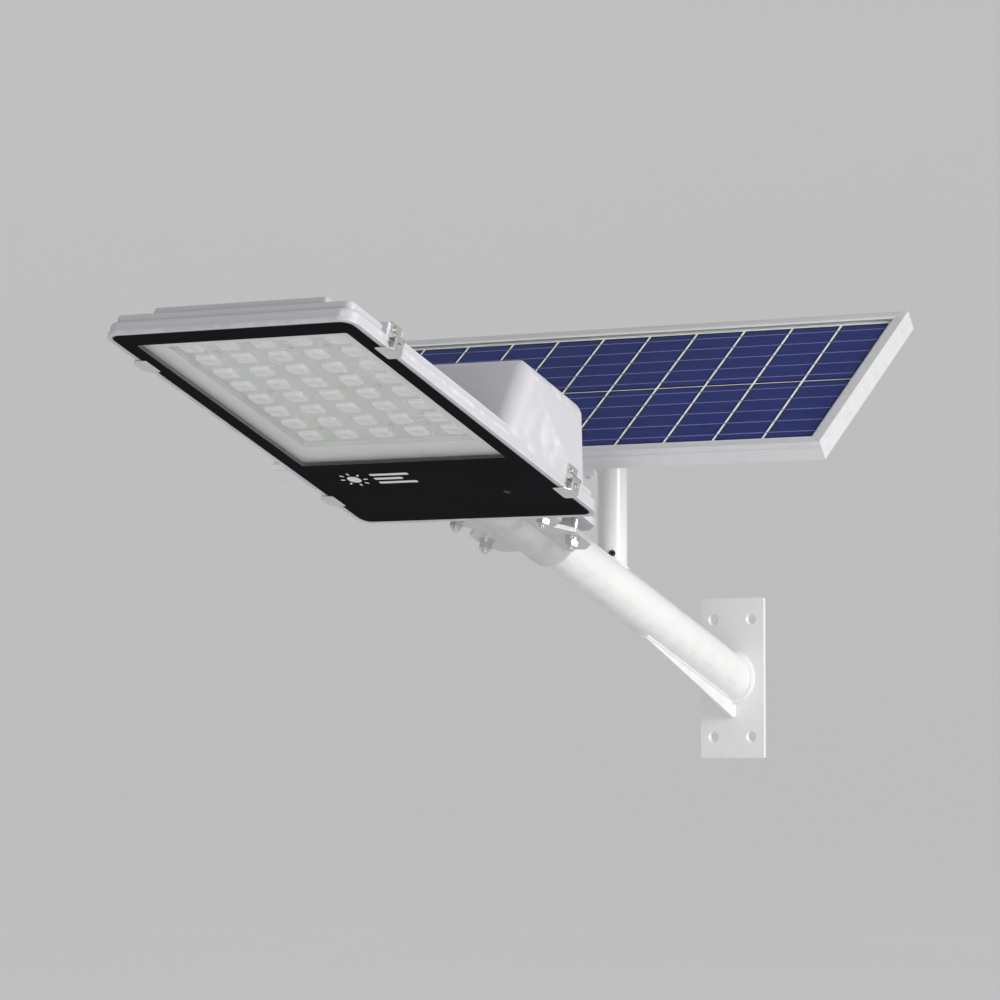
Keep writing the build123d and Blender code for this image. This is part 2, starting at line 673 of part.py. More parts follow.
def junction_box():
    top = seat_height()
    low = top - JUNCTION_DEPTH + JUNCTION_LID_THICK
    x0 = JUNCTION_X - JUNCTION_LENGTH / 2
    x1 = JUNCTION_X + JUNCTION_LENGTH / 2
    y0 = JUNCTION_Y - JUNCTION_WIDTH / 2
    y1 = JUNCTION_Y + JUNCTION_WIDTH / 2
    w = JUNCTION_WALL
    shell = block(x0, x1, y0, y1, low, top) - block(x0 + w, x1 - w, y0 + w, y1 - w, low, top - w)
    middle = (low + top) / 2
    port = (JUNCTION_X, y0, middle)
    inward = (0, 1, 0)
    outward = (0, -1, 0)
    shell -= rod(port, inward, JUNCTION_GLAND_THREAD_DIA / 2 + HOLE_FIT, w)
    lid = block(x0, x1, y0, y1, low - JUNCTION_LID_THICK, low)
    gland = hexagon(port, outward, JUNCTION_GLAND_FLATS, JUNCTION_GLAND_NUT)
    gland += rod(port, outward, JUNCTION_GLAND_CAP_DIA / 2, JUNCTION_GLAND_CAP)
    gland += rod(port, inward, JUNCTION_GLAND_THREAD_DIA / 2, JUNCTION_GLAND_TAIL)
    bore_length = JUNCTION_GLAND_CAP + JUNCTION_GLAND_TAIL
    gland -= rod(along(port, outward, JUNCTION_GLAND_CAP), inward, CORD_BORE_DIA / 2, bore_length)
    terminals = []
    for side in (-1, 1):
        x = JUNCTION_X + side * TERMINAL_OUT
        half_x = TERMINAL_LENGTH / 2
        half_y = TERMINAL_WIDTH / 2
        terminals.append(
            block(x - half_x, x + half_x, JUNCTION_Y - half_y, JUNCTION_Y + half_y, low + w, top - w)
        )
    return shell, lid, gland, terminals


# ---- lamp head, in the lamp's frame: Y towards the wall, Z into the casting, the glass faces -Z ----
def tier(inset, corner, z1):
    """One step of the casting's outside, from the glass plane to its height."""
    return slab(HOUSING_WIDTH - 2 * inset, HOUSING_LENGTH - 2 * inset, corner, -GLASS_LENGTH / 2, 0, z1)


def rounded_top(body, radius):
    """Rounds the outline of a body's top face."""
    return fillet(body.faces().sort_by(Axis.Z)[-1].outer_wire().edges(), radius)


def upright_cutter(x_side, foot, top, y_side, radius, inset):
    """What rounds one leaning upright edge of the compartment: a corner piece with a hollow in it."""
    rise = BOX_HEIGHT - BOX_FOOT_HEIGHT
    lean = atan2(abs(top - foot), rise)
    x = x_side * (FLANK - inset - radius)
    y_high = foot - y_side * (inset / cos(lean) + radius)
    y_low = foot - y_side * (inset + radius)
    corner = Pos(x_side * radius, y_side * radius) * Rectangle(radius * 2, radius * 2) - Circle(radius)
    way = Vector(0, top - foot, rise)
    high = extrude(Pos(x, y_high, BOX_FOOT_HEIGHT) * corner, way.length, dir=way.normalized())
    low = extrude(Pos(x, y_low, BOX_BASE) * corner, BOX_FOOT_HEIGHT - BOX_BASE)
    return high, low


def rear_box(inset):
    """The battery compartment's block, shrunk all round by inset."""
    reach = HOUSING_LENGTH
    side = Plane.YZ * Polygon(
        (-BOX_REAR_FOOT, BOX_BASE),
        (-BOX_REAR_FOOT, BOX_FOOT_HEIGHT),
        (-BOX_REAR_TOP, BOX_HEIGHT),
        (-BOX_FRONT_TOP, BOX_HEIGHT),
        (-BOX_FRONT_FOOT, BOX_FOOT_HEIGHT),
        (-BOX_FRONT_FOOT, BOX_BASE),
        align=None,
    )
    end = Plane.XZ * Polygon(
        (-FLANK, BOX_BASE), (FLANK, BOX_BASE), (FLANK, BOX_HEIGHT), (-FLANK, BOX_HEIGHT), align=None
    )
    if inset > 0:
        side = offset(side, -inset, kind=Kind.INTERSECTION)
        end = offset(end, -inset, kind=Kind.INTERSECTION)
    side = fillet(side.vertices().group_by(Axis.Z)[-1], BOX_END_ROUND - inset)
    end = fillet(end.vertices().group_by(Axis.Z)[-1], BOX_SIDE_ROUND - inset)
    body = extrude(side, reach, both=True) & extrude(end, reach, both=True)
    for x_side in (-1, 1):
        ends = (
            (-BOX_REAR_FOOT, -BOX_REAR_TOP, 1, BOX_REAR_ROUND),
            (-BOX_FRONT_FOOT, -BOX_FRONT_TOP, -1, BOX_FRONT_ROUND),
        )
        for foot, top, y_side, radius in ends:
            for piece in upright_cutter(x_side, foot, top, y_side, radius - inset, inset):
                body -= piece
    return body


def plateau():
    """The raised field of cooling fins on the casting's top."""
    far = GLASS_LENGTH + LIP_WIDTH - PLATEAU_SETBACK
    near = BOX_FRONT_TOP
    middle = -(far + near) / 2
    base = STEP_HEIGHT - TOP_ROUND * 2
    field = Pos(0, middle, base) * RectangleRounded(PLATEAU_WIDTH, far - near, STEP_INSET)
    body = extrude(field, PLATEAU_HEIGHT - base, taper=PLATEAU_DRAFT)
    pitch = PLATEAU_WIDTH / (FIN_COUNT + 1)
    low = PLATEAU_HEIGHT - FIN_GROOVE_DEPTH
    start = FIN_END - far
    end = -BOX_FRONT_FOOT - FIN_END
    for index in range(FIN_COUNT):
        x = (index - (FIN_COUNT - 1) / 2) * pitch
        half = FIN_GROOVE_WIDTH / 2
        body -= block(x - half, x + half, start, end, low, PLATEAU_HEIGHT)
    return body


def flange_plate(z0, z1, radius):
    """The four bolt lugs of a clamp half, with a waist between them, clear of the tube's radius."""
    cut = FLANGE_CUT
    middle = (CLAMP_BOLT_NEAR + CLAMP_BOLT_FAR) / 2
    slope = FLANGE_HALF - FLANGE_WAIST
    right = [
        (FLANGE_HALF - cut, FLANGE_START),
        (FLANGE_HALF, FLANGE_START + cut),
        (FLANGE_HALF, middle - slope / 2 - cut / 2),
        (FLANGE_WAIST, middle),
        (FLANGE_HALF, middle + slope / 2 + cut / 2),
        (FLANGE_HALF, FLANGE_END - cut),
        (FLANGE_HALF - cut, FLANGE_END),
    ]
    left = [(-x, y) for x, y in reversed(right)]
    outline = Pos(0, 0, z0) * Polygon(*right, *left, align=None)
    return extrude(outline, z1 - z0) - rod((0, 0, AXIS_HEIGHT), (0, 1, 0), radius, SADDLE_END)


def clamp_spots():
    """Plan positions of the four clamp bolts."""
    half = CLAMP_BOLT_PITCH_X / 2
    return [(x, y) for x in (-half, half) for y in (CLAMP_BOLT_NEAR, CLAMP_BOLT_FAR)]


def clamp_drill(body):
    for x, y in clamp_spots():
        body -= rod((x, y, 0), UP, CLAMP_BOLT_DIA / 2 + HOLE_FIT, AXIS_HEIGHT * 2)
    return body


def tail():
    """The casting's upper clamp half: a roof over the arm tube with four bolt lugs."""
    inner = ARM_RADIUS + SLIP
    outer = inner + SADDLE_WALL
    start = -BOX_REAR_TOP
    roof = rod((0, start, AXIS_HEIGHT), (0, 1, 0), outer, TAIL_END - start)
    base = AXIS_HEIGHT + UPPER_FLANGE_BASE
    roof &= block(-outer, outer, start, TAIL_END, base, AXIS_HEIGHT + outer)
    legs = block(-outer, outer, start, LIP_WIDTH, FLANK_HEIGHT, base)
    low = base
    lugs = flange_plate(low, low + UPPER_FLANGE_THICK, inner)
    for side in (-1, 1):
        x = side * WEB_OFFSET
        web = Plane.YZ * Polygon(
            (start, low), (FLANGE_END - FLANGE_CUT, low), (FLANGE_END - FLANGE_CUT, low + UPPER_FLANGE_THICK),
            (start, AXIS_HEIGHT + ARM_DIA), align=None,
        )
        lugs += Pos(x - WEB_THICK / 2, 0, 0) * extrude(web, WEB_THICK, dir=(1, 0, 0))
    body = roof + legs + lugs
    body -= rod((0, start, AXIS_HEIGHT), (0, 1, 0), inner, SADDLE_END - start)
    bore_low = block(-inner, inner, start, SADDLE_END, 0, AXIS_HEIGHT)
    return clamp_drill(body - bore_low)


def latch_rows():
    return (-LATCH_NEAR, -LATCH_FAR)


def latch_pad(side, y):
    """A flat pad on the casting's flank that the latch base is screwed to."""
    half = PAD_LENGTH / 2
    x0 = min(side * (FLANK - STEP_INSET * 2), side * FLANK)
    return block(x0, x0 + STEP_INSET * 2, y - half, y + half, LEDGE_HEIGHT, PAD_TOP)


def latch_screw_drill(side, y):
    """The tapped hole behind a latch base."""
    start = (side * (FLANK - SCREW_EMBED), y, LATCH_SCREW_HEIGHT)
    return rod(start, (side, 0, 0), LATCH_SCREW_DIA / 2, SCREW_EMBED * 2)


def eye():
    """A lanyard eye on the casting's shoulder."""
    base = STEP_HEIGHT - TOP_ROUND
    top = STEP_HEIGHT + EYE_HEIGHT
    half = EYE_WIDTH / 2
    x0 = EYE_X - EYE_THICK / 2
    body = block(x0, x0 + EYE_THICK, -EYE_OUT - half, -EYE_OUT + half, base, top - half)
    body += rod((x0, -EYE_OUT, top - half), (1, 0, 0), half, EYE_THICK)
    return body - rod((x0, -EYE_OUT, top - half), (1, 0, 0), EYE_HOLE_DIA / 2, EYE_THICK)


def gland_way():
    """Outward direction of the compartment's rear wall."""
    lean = atan2(BOX_REAR_TOP - BOX_REAR_FOOT, BOX_HEIGHT - BOX_FOOT_HEIGHT)
    return (0, cos(lean), sin(lean))


def gland_place():
    """Where the cable gland's axis leaves the rear wall."""
    lean = (BOX_REAR_TOP - BOX_REAR_FOOT) / (BOX_HEIGHT - BOX_FOOT_HEIGHT)
    return (GLAND_X, -BOX_REAR_FOOT - (GLAND_HEIGHT - BOX_FOOT_HEIGHT) * lean, GLAND_HEIGHT)


def screw_grid():
    """Plan positions of the light engine's screws, between the lenses."""
    spots = []
    for column in (-1.5, 0.5, 1.5):
        for row in (-3, 0, 3):
            spots.append((column * LED_PITCH_X, -LED_MIDDLE + row * LED_PITCH_Y))
    return spots


def lamp_housing():
    body = tier(-RIM_PROUD, GLASS_CORNER + LIP_WIDTH + RIM_PROUD, RIM_HEIGHT)
    body += rounded_top(tier(0, GLASS_CORNER + LIP_WIDTH, FLANK_HEIGHT), TOP_ROUND * 1.5)
    body += rounded_top(tier(STEP_INSET, GLASS_CORNER - LIP_WIDTH, STEP_HEIGHT), TOP_ROUND)
    body += plateau()
    body += rear_box(0)
    body += tail()
    body += eye()
    for side in (-1, 1):
        for y in latch_rows():
            body += latch_pad(side, y)
            body -= latch_screw_drill(side, y)
    rebate = GLASS_FIT * 2
    middle = -GLASS_LENGTH / 2
    body -= slab(GLASS_WIDTH + rebate, GLASS_LENGTH + rebate, GLASS_CORNER, middle, 0, LEDGE_HEIGHT)
    cavity_length = GLASS_LENGTH - 2 * GASKET_WIDTH
    cavity_corner = GLASS_CORNER - GASKET_WIDTH
    body -= slab(CAVITY_HALF * 2, cavity_length, cavity_corner, middle, 0, CEILING)
    body -= rear_box(BOX_WALL)
    inside = along(gland_place(), gland_way(), -BOX_WALL * 2)
    body -= rod(inside, gland_way(), GLAND_THREAD_DIA / 2 + HOLE_FIT, BOX_WALL * 3)
    for x, y in screw_grid():
        body -= rod((x, y, CEILING), UP, BOARD_SCREW_DIA / 2, SCREW_EMBED)
    for x, y in gear_screw_spots():
        body -= rod((x, y, LEDGE_HEIGHT + GEAR_PLATE_THICK), UP, BOARD_SCREW_DIA / 2, BOX_FLOOR)
    return body


def cover_gasket():
    middle = -GLASS_LENGTH / 2
    outer = slab(GLASS_WIDTH, GLASS_LENGTH, GLASS_CORNER, middle, GLASS_THICK, LEDGE_HEIGHT)
    inner_corner = GLASS_CORNER - GASKET_WIDTH
    inner_length = GLASS_LENGTH - 2 * GASKET_WIDTH
    return outer - slab(CAVITY_HALF * 2, inner_length, inner_corner, middle, GLASS_THICK, LEDGE_HEIGHT)


def cover_glass():
    return slab(GLASS_WIDTH, GLASS_LENGTH, GLASS_CORNER, -GLASS_LENGTH / 2, 0, GLASS_THICK)


# ---- light engine ----
def led_spots():
    """Plan positions of the light-emitting diodes."""
    spots = []
    for column in range(LED_COLUMNS):
        x = (column - (LED_COLUMNS - 1) / 2) * LED_PITCH_X
        for row in range(LED_ROWS):
            spots.append((x, -LED_MIDDLE + (row - (LED_ROWS - 1) / 2) * LED_PITCH_Y))
    return spots


def engine_size():
    """Width and length of the light engine's board."""
    width = (LED_COLUMNS - 1) * LED_PITCH_X + 2 * BOARD_MARGIN
    length = (LED_ROWS - 1) * LED_PITCH_Y + 2 * BOARD_MARGIN
    return width, length


def screw_drilled(body, z0, z1):
    """Cuts the light engine's screw holes through a plate."""
    for x, y in screw_grid():
        body -= rod((x, y, z0), UP, BOARD_SCREW_DIA / 2 + HOLE_FIT, z1 - z0)
    return body


def led_board():
    width, length = engine_size()
    board = slab(width, length, TOP_ROUND, -LED_MIDDLE, BOARD_FACE, CEILING)
    return screw_drilled(board, BOARD_FACE, CEILING)


def led_chips():
    half = LED_SIZE / 2
    low = BOARD_FACE - LED_THICK
    return [block(x - half, x + half, y - half, y + half, low, BOARD_FACE) for x, y in led_spots()]


def lens_plate():
    """A moulded plate with one raised lens below each diode and a rim against the board."""
    width, length = engine_size()
    plate = slab(width, length, TOP_ROUND, -LED_MIDDLE, LENS_FACE, BOARD_FACE)
    rim = BOARD_MARGIN - LENS_LENGTH_Y / 2 - LENS_POCKET * 4
    plate -= slab(width - 2 * rim, length - 2 * rim, TOP_ROUND, -LED_MIDDLE, LENS_BASE, BOARD_FACE)
    for x, y in led_spots():
        lens = RectangleRounded(LENS_LENGTH_X, LENS_LENGTH_Y, LENS_CORNER)
        plate += extrude(Plane(origin=(x, y, LENS_FACE), z_dir=DOWN) * lens, LENS_RISE, taper=LENS_DRAFT)
    for x, y in screw_grid():
        plate += rod((x, y, LENS_BASE), UP, BOARD_SCREW_HEAD / 2, LENS_POCKET)
    return screw_drilled(plate, LENS_FACE, BOARD_FACE)


def engine_screws():
    length = CEILING + SCREW_EMBED - LENS_FACE
    shank = BOARD_SCREW_DIA - THREAD_FIT * 2
    return [
        screw((x, y, LENS_FACE), UP, shank, length, BOARD_SCREW_HEAD, BOARD_SCREW_HEAD_THICK)
        for x, y in screw_grid()
    ]


def reflector_tray():
    """A white surround that closes the window round the lens plate, with a skirt up to the casting."""
    width, length = engine_size()
    middle = -(REFLECTOR_NEAR + REFLECTOR_FAR) / 2
    outer_length = REFLECTOR_FAR - REFLECTOR_NEAR
    skirt = REFLECTOR_SKIRT
    tray = slab(REFLECTOR_SIDE * 2, outer_length, GLASS_CORNER / 2, middle, REFLECTOR_HEIGHT, CEILING)
    inner = slab(
        (REFLECTOR_SIDE - skirt) * 2, outer_length - 2 * skirt, GLASS_CORNER / 2 - skirt, middle,
        REFLECTOR_HEIGHT + REFLECTOR_THICK, CEILING,
    )
    window = slab(width - 2 * skirt, length - 2 * skirt, TOP_ROUND, -LED_MIDDLE, REFLECTOR_HEIGHT, CEILING)
    tray -= inner
    inner_fit = GLASS_FIT
    outer_fit = 2 * GLASS_FIT + skirt
    collar = slab(width + outer_fit, length + outer_fit, TOP_ROUND, -LED_MIDDLE, REFLECTOR_HEIGHT, CEILING)
    collar -= slab(width + inner_fit, length + inner_fit, TOP_ROUND, -LED_MIDDLE, REFLECTOR_HEIGHT, CEILING)
    step = block(-FLANK, FLANK, -GEAR_FAR - SIDE_GAP, -REFLECTOR_NEAR + skirt, BOX_FLOOR, CEILING + skirt)
    return tray + collar - window - step


# ---- battery and controller ----
def gear_screw_spots():
    x = (CAVITY_HALF + GEAR_SIDE) / 2
    inset = BOARD_MARGIN
    return [(side * x, -y) for side in (-1, 1) for y in (GEAR_NEAR + inset, GEAR_FAR - inset)]


def gear_plate():
    middle = -(GEAR_FAR + GEAR_NEAR) / 2
    corner = BOX_FRONT_ROUND - BOX_WALL
    top = BOX_FLOOR + GEAR_PLATE_THICK
    plate = slab(GEAR_SIDE * 2, GEAR_FAR - GEAR_NEAR, corner, middle, BOX_FLOOR, top)
    for x, y in gear_screw_spots():
        plate -= rod((x, y, BOX_FLOOR), UP, BOARD_SCREW_DIA / 2 + HOLE_FIT, GEAR_PLATE_THICK)
    return plate


def gear_screws():
    top = BOX_FLOOR + GEAR_PLATE_THICK
    shank = BOARD_SCREW_DIA - THREAD_FIT * 2
    return [
        screw((x, y, top), DOWN, shank, GEAR_SCREW_LENGTH, GEAR_SCREW_HEAD, BOARD_SCREW_HEAD_THICK)
        for x, y in gear_screw_spots()
    ]


def pack_base():
    return BOX_FLOOR + GEAR_PLATE_THICK


def battery_cells():
    cells = []
    for column in range(CELLS_ACROSS):
        x = PACK_X + (column - (CELLS_ACROSS - 1) / 2) * CELL_PITCH
        for row in range(CELLS_HIGH):
            z = pack_base() + HOLDER_EDGE + CELL_PITCH * (row + 0.5)
            cells.append(rod((x, -PACK_NEAR, z), (0, -1, 0), CELL_DIA / 2, CELL_LENGTH))
    return cells


def pack_half():
    """Half the width of a cell holder."""
    return CELLS_ACROSS * CELL_PITCH / 2 + HOLDER_EDGE


def pack_top():
    return pack_base() + CELLS_HIGH * CELL_PITCH + 2 * HOLDER_EDGE


def cell_holders():
    """Two pocketed end plates that carry the battery cells."""
    x0 = PACK_X - pack_half()
    x1 = PACK_X + pack_half()
    near = -PACK_NEAR + HOLDER_POCKET
    far = -PACK_NEAR - CELL_LENGTH - HOLDER_POCKET
    plates = [
        block(x0, x1, near - HOLDER_THICK, near, pack_base(), pack_top()),
        block(x0, x1, far, far + HOLDER_THICK, pack_base(), pack_top()),
    ]
    drilled = []
    for plate in plates:
        for cell in battery_cells():
            plate -= cell
        drilled.append(plate)
    return drilled


def battery_strap():
    """A steel strap over the pack, with a foot on the gear plate at each side."""
    y = -PACK_NEAR - CELL_LENGTH / 2
    y0 = y - STRAP_WIDTH / 2
    y1 = y + STRAP_WIDTH / 2
    t = GEAR_PLATE_THICK
    x0 = PACK_X - pack_half()
    x1 = PACK_X + pack_half()
    strap = block(x0 - t, x1 + t, y0, y1, pack_top(), pack_top() + t)
    strap += block(x0 - t, x0, y0, y1, pack_base(), pack_top())
    strap += block(x1, x1 + t, y0, y1, pack_base(), pack_top())
    strap += block(x0 - STRAP_FOOT, x0, y0, y1, pack_base(), pack_base() + t)
    strap += block(x1, x1 + STRAP_FOOT, y0, y1, pack_base(), pack_base() + t)
    return strap


def controller():
    """The charge controller: an open case, its board and the parts on it."""
    base = pack_base()
    x0 = BOARD_X - BOARD_WIDTH / 2
    x1 = BOARD_X + BOARD_WIDTH / 2
    y0 = -BOARD_NEAR - BOARD_LENGTH
    y1 = -BOARD_NEAR
    w = CASE_WALL
    case = block(x0, x1, y0, y1, base, base + CASE_HEIGHT)
    case -= block(x0 + w, x1 - w, y0 + w, y1 - w, base + w, base + CASE_HEIGHT)
    for x in (x0 + PILLAR_INSET, x1 - PILLAR_INSET):
        for y in (y0 + PILLAR_INSET, y1 - PILLAR_INSET):
            case += rod((x, y, base + w), UP, PILLAR_DIA / 2, BOARD_STAND)
    board_z = base + w + BOARD_STAND
    gap = GLASS_FIT + w
    board = block(x0 + gap, x1 - gap, y0 + gap, y1 - gap, board_z, board_z + BOARD_THICK)
    top = board_z + BOARD_THICK
    middle = (y0 + y1) / 2
    coil = ring((BOARD_X, middle, top), UP, COIL_DIA / 2, COIL_BORE / 2, COIL_HEIGHT)
    capacitors = [
        rod((BOARD_X + x, middle + CAPACITOR_Y, top), UP, CAPACITOR_DIA / 2, CAPACITOR_HEIGHT)
        for x in (-CAPACITOR_X, CAPACITOR_X)
    ]
    half = CHIP_SIZE / 2
    chip_y = middle + CHIP_Y
    chip = block(BOARD_X - half, BOARD_X + half, chip_y - half, chip_y + half, top, top + CHIP_THICK)
    strip_y = y0 + TERMINAL_STRIP_INSET
    terminal = block(
        x0 + TERMINAL_STRIP_MARGIN, x1 - TERMINAL_STRIP_MARGIN, strip_y, strip_y + TERMINAL_WIDTH,
        top, top + COIL_HEIGHT,
    )
    return case, board, [coil, *capacitors, chip, terminal]


def sensor():
    """The receiver for the remote control, in a sleeve below the gear plate, behind the glass."""
    low = GLASS_THICK + SIDE_GAP
    sleeve_low = LEDGE_HEIGHT
    radius = SENSOR_DIA / 2
    sleeve_start = (SENSOR_X, -SENSOR_OUT, sleeve_low)
    sleeve = ring(sleeve_start, UP, SENSOR_SLEEVE_DIA / 2, radius + THREAD_FIT, BOX_FLOOR - sleeve_low)
    eye_body = rod((SENSOR_X, -SENSOR_OUT, low + radius), UP, radius, BOX_FLOOR - low - radius)
    eye_body += Pos(SENSOR_X, -SENSOR_OUT, low + radius) * Sphere(radius)
    return sleeve, eye_body


def cable_gland():
    """The gland on the compartment's rear wall, under the clamp's roof."""
    way = gland_way()
    start = gland_place()
    thread = BOX_WALL * 2
    body = hexagon(start, way, GLAND_FLATS, GLAND_NUT)
    body += rod(start, way, GLAND_CAP_DIA / 2, GLAND_CAP)
    body += rod(along(start, way, -thread), way, GLAND_THREAD_DIA / 2, thread)
    body -= rod(along(start, way, -thread), way, GLAND_BORE_DIA / 2, thread + GLAND_CAP)
    inner = along(start, way, -BOX_WALL)
    back = tuple(Vector(*way) * -1)
    lock = hexagon(inner, back, GLAND_FLATS, BOX_WALL)
    lock -= rod(inner, back, GLAND_THREAD_DIA / 2 + THREAD_FIT, BOX_WALL)
    return body, lock


# ---- clamp ----
def clamp_plate():
    """The pressed lower clamp half: a saddle under the arm tube with four bolt lugs."""
    inner = ARM_RADIUS + SLIP
    outer = inner + SADDLE_WALL
    top = AXIS_HEIGHT + LOWER_FLANGE_TOP
    start = LIP_WIDTH + RIM_PROUD * 2
    saddle = rod((0, start, AXIS_HEIGHT), (0, 1, 0), outer, SADDLE_END - start)
    saddle &= block(-outer, outer, 0, SADDLE_END, 0, top)
    body = saddle + flange_plate(top - LOWER_FLANGE_THICK, top, inner)
    body -= rod((0, 0, AXIS_HEIGHT), (0, 1, 0), inner, SADDLE_END)
    return clamp_drill(body)


def clamp_fasteners():
    """Bolts with heads on the upper lugs, and washers, spring washers and nuts below the clamp plate."""
    head_z = AXIS_HEIGHT + UPPER_FLANGE_BASE + UPPER_FLANGE_THICK + WASHER_THICK
    under = AXIS_HEIGHT + LOWER_FLANGE_TOP - LOWER_FLANGE_THICK
    nut_top = under - WASHER_THICK - SPRING_WASHER_THICK
    length = head_z - nut_top + CLAMP_BOLT_DIA * NUT_HEIGHT_SHARE + CLAMP_BOLT_SPARE
    spring_dia = CLAMP_BOLT_DIA * SPRING_WASHER_SHARE
    bolts = []
    washers = []
    springs = []
    nuts = []
    for x, y in clamp_spots():
        bolts.append(bolt((x, y, head_z), DOWN, CLAMP_BOLT_DIA, length))
        washers.append(washer((x, y, head_z - WASHER_THICK), UP, CLAMP_BOLT_DIA, WASHER_THICK))
        washers.append(washer((x, y, under), DOWN, CLAMP_BOLT_DIA, WASHER_THICK))
        bore = CLAMP_BOLT_DIA / 2 + HOLE_FIT
        springs.append(ring((x, y, under - WASHER_THICK), DOWN, spring_dia / 2, bore, SPRING_WASHER_THICK))
        nuts.append(nut((x, y, nut_top), DOWN, CLAMP_BOLT_DIA))
    return bolts, washers, springs, nuts


# ---- latches ----
def latch_pin_x():
    return FLANK + LATCH_PIN_OUT


def latch_base(side, y):
    """A sheet bracket on the flank with two ears that hold the pin."""
    half = LATCH_BASE_LENGTH / 2
    t = LATCH_SHEET
    plate = block(FLANK, FLANK + t, -half, half, LATCH_BASE_LOW, LATCH_BASE_HIGH)
    plate -= rod((FLANK, 0, LATCH_SCREW_HEIGHT), (1, 0, 0), LATCH_SCREW_DIA / 2 + HOLE_FIT, t)
    radius = LATCH_PIN_DIA / 2 + t
    for y0 in (-half, half - t):
        ear = block(FLANK, latch_pin_x(), y0, y0 + t, LATCH_PIN_HEIGHT - radius, LATCH_PIN_HEIGHT + radius)
        plate += ear + rod((latch_pin_x(), y0, LATCH_PIN_HEIGHT), (0, 1, 0), radius, t)
    plate -= rod((latch_pin_x(), -half, LATCH_PIN_HEIGHT), (0, 1, 0), LATCH_PIN_DIA / 2, LATCH_BASE_LENGTH)
    if side < 0:
        plate = mirror(plate, Plane.YZ)
    return Pos(0, y, 0) * plate


def latch_pin(side, y):
    half = LATCH_BASE_LENGTH / 2 + LATCH_SHEET / 2
    return rod((side * latch_pin_x(), y - half, LATCH_PIN_HEIGHT), (0, 1, 0), LATCH_PIN_DIA / 2, half * 2)


def latch_screw(side, y):
    start = (side * (FLANK + LATCH_SHEET), y, LATCH_SCREW_HEIGHT)
    shank = LATCH_SCREW_DIA - THREAD_FIT * 2
    head = LATCH_SCREW_DIA * PAN_HEAD_SHARE
    return screw(start, (-side, 0, 0), shank, SCREW_EMBED + LATCH_SHEET, head, BOARD_SCREW_HEAD_THICK)


def latch_lever(side, y):
    """A hooked strap: a barrel on the pin, an arm down the flank and a foot under the glass's edge."""
    t = LATCH_SHEET
    half = LATCH_WIDTH / 2
    bore = LATCH_PIN_DIA / 2 + SLIP
    barrel = bore + LATCH_BARREL_WALL
    x_pin = latch_pin_x()
    x_out = x_pin + barrel
    foot_low = -SIDE_GAP - t
    strap = block(x_out - t, x_out, -half, half, foot_low, LATCH_PIN_HEIGHT)
    slot = LATCH_SLOT_WIDTH / 2
    strap -= block(x_out - t, x_out, -slot, slot, LATCH_SLOT_LOW, LATCH_SLOT_HIGH)
    lever = strap + rod((x_pin, -half, LATCH_PIN_HEIGHT), (0, 1, 0), barrel, LATCH_WIDTH)
    lever -= rod((x_pin, -half, LATCH_PIN_HEIGHT), (0, 1, 0), bore, LATCH_WIDTH)
    x_in = GLASS_WIDTH / 2 - LATCH_FOOT_OVERLAP
    wing = LATCH_FOOT_LENGTH / 2
    foot = Pos(0, 0, foot_low) * Polygon(
        (x_out, -half), (x_out, half), (x_out - barrel * 2, wing), (x_in + t, wing), (x_in, wing - t * 2),
        (x_in, t * 2 - wing), (x_in + t, -wing), (x_out - barrel * 2, -wing), align=None,
    )
    lever += extrude(foot, t)
    if side < 0:
        lever = mirror(lever, Plane.YZ)
    return Pos(0, y, 0) * lever


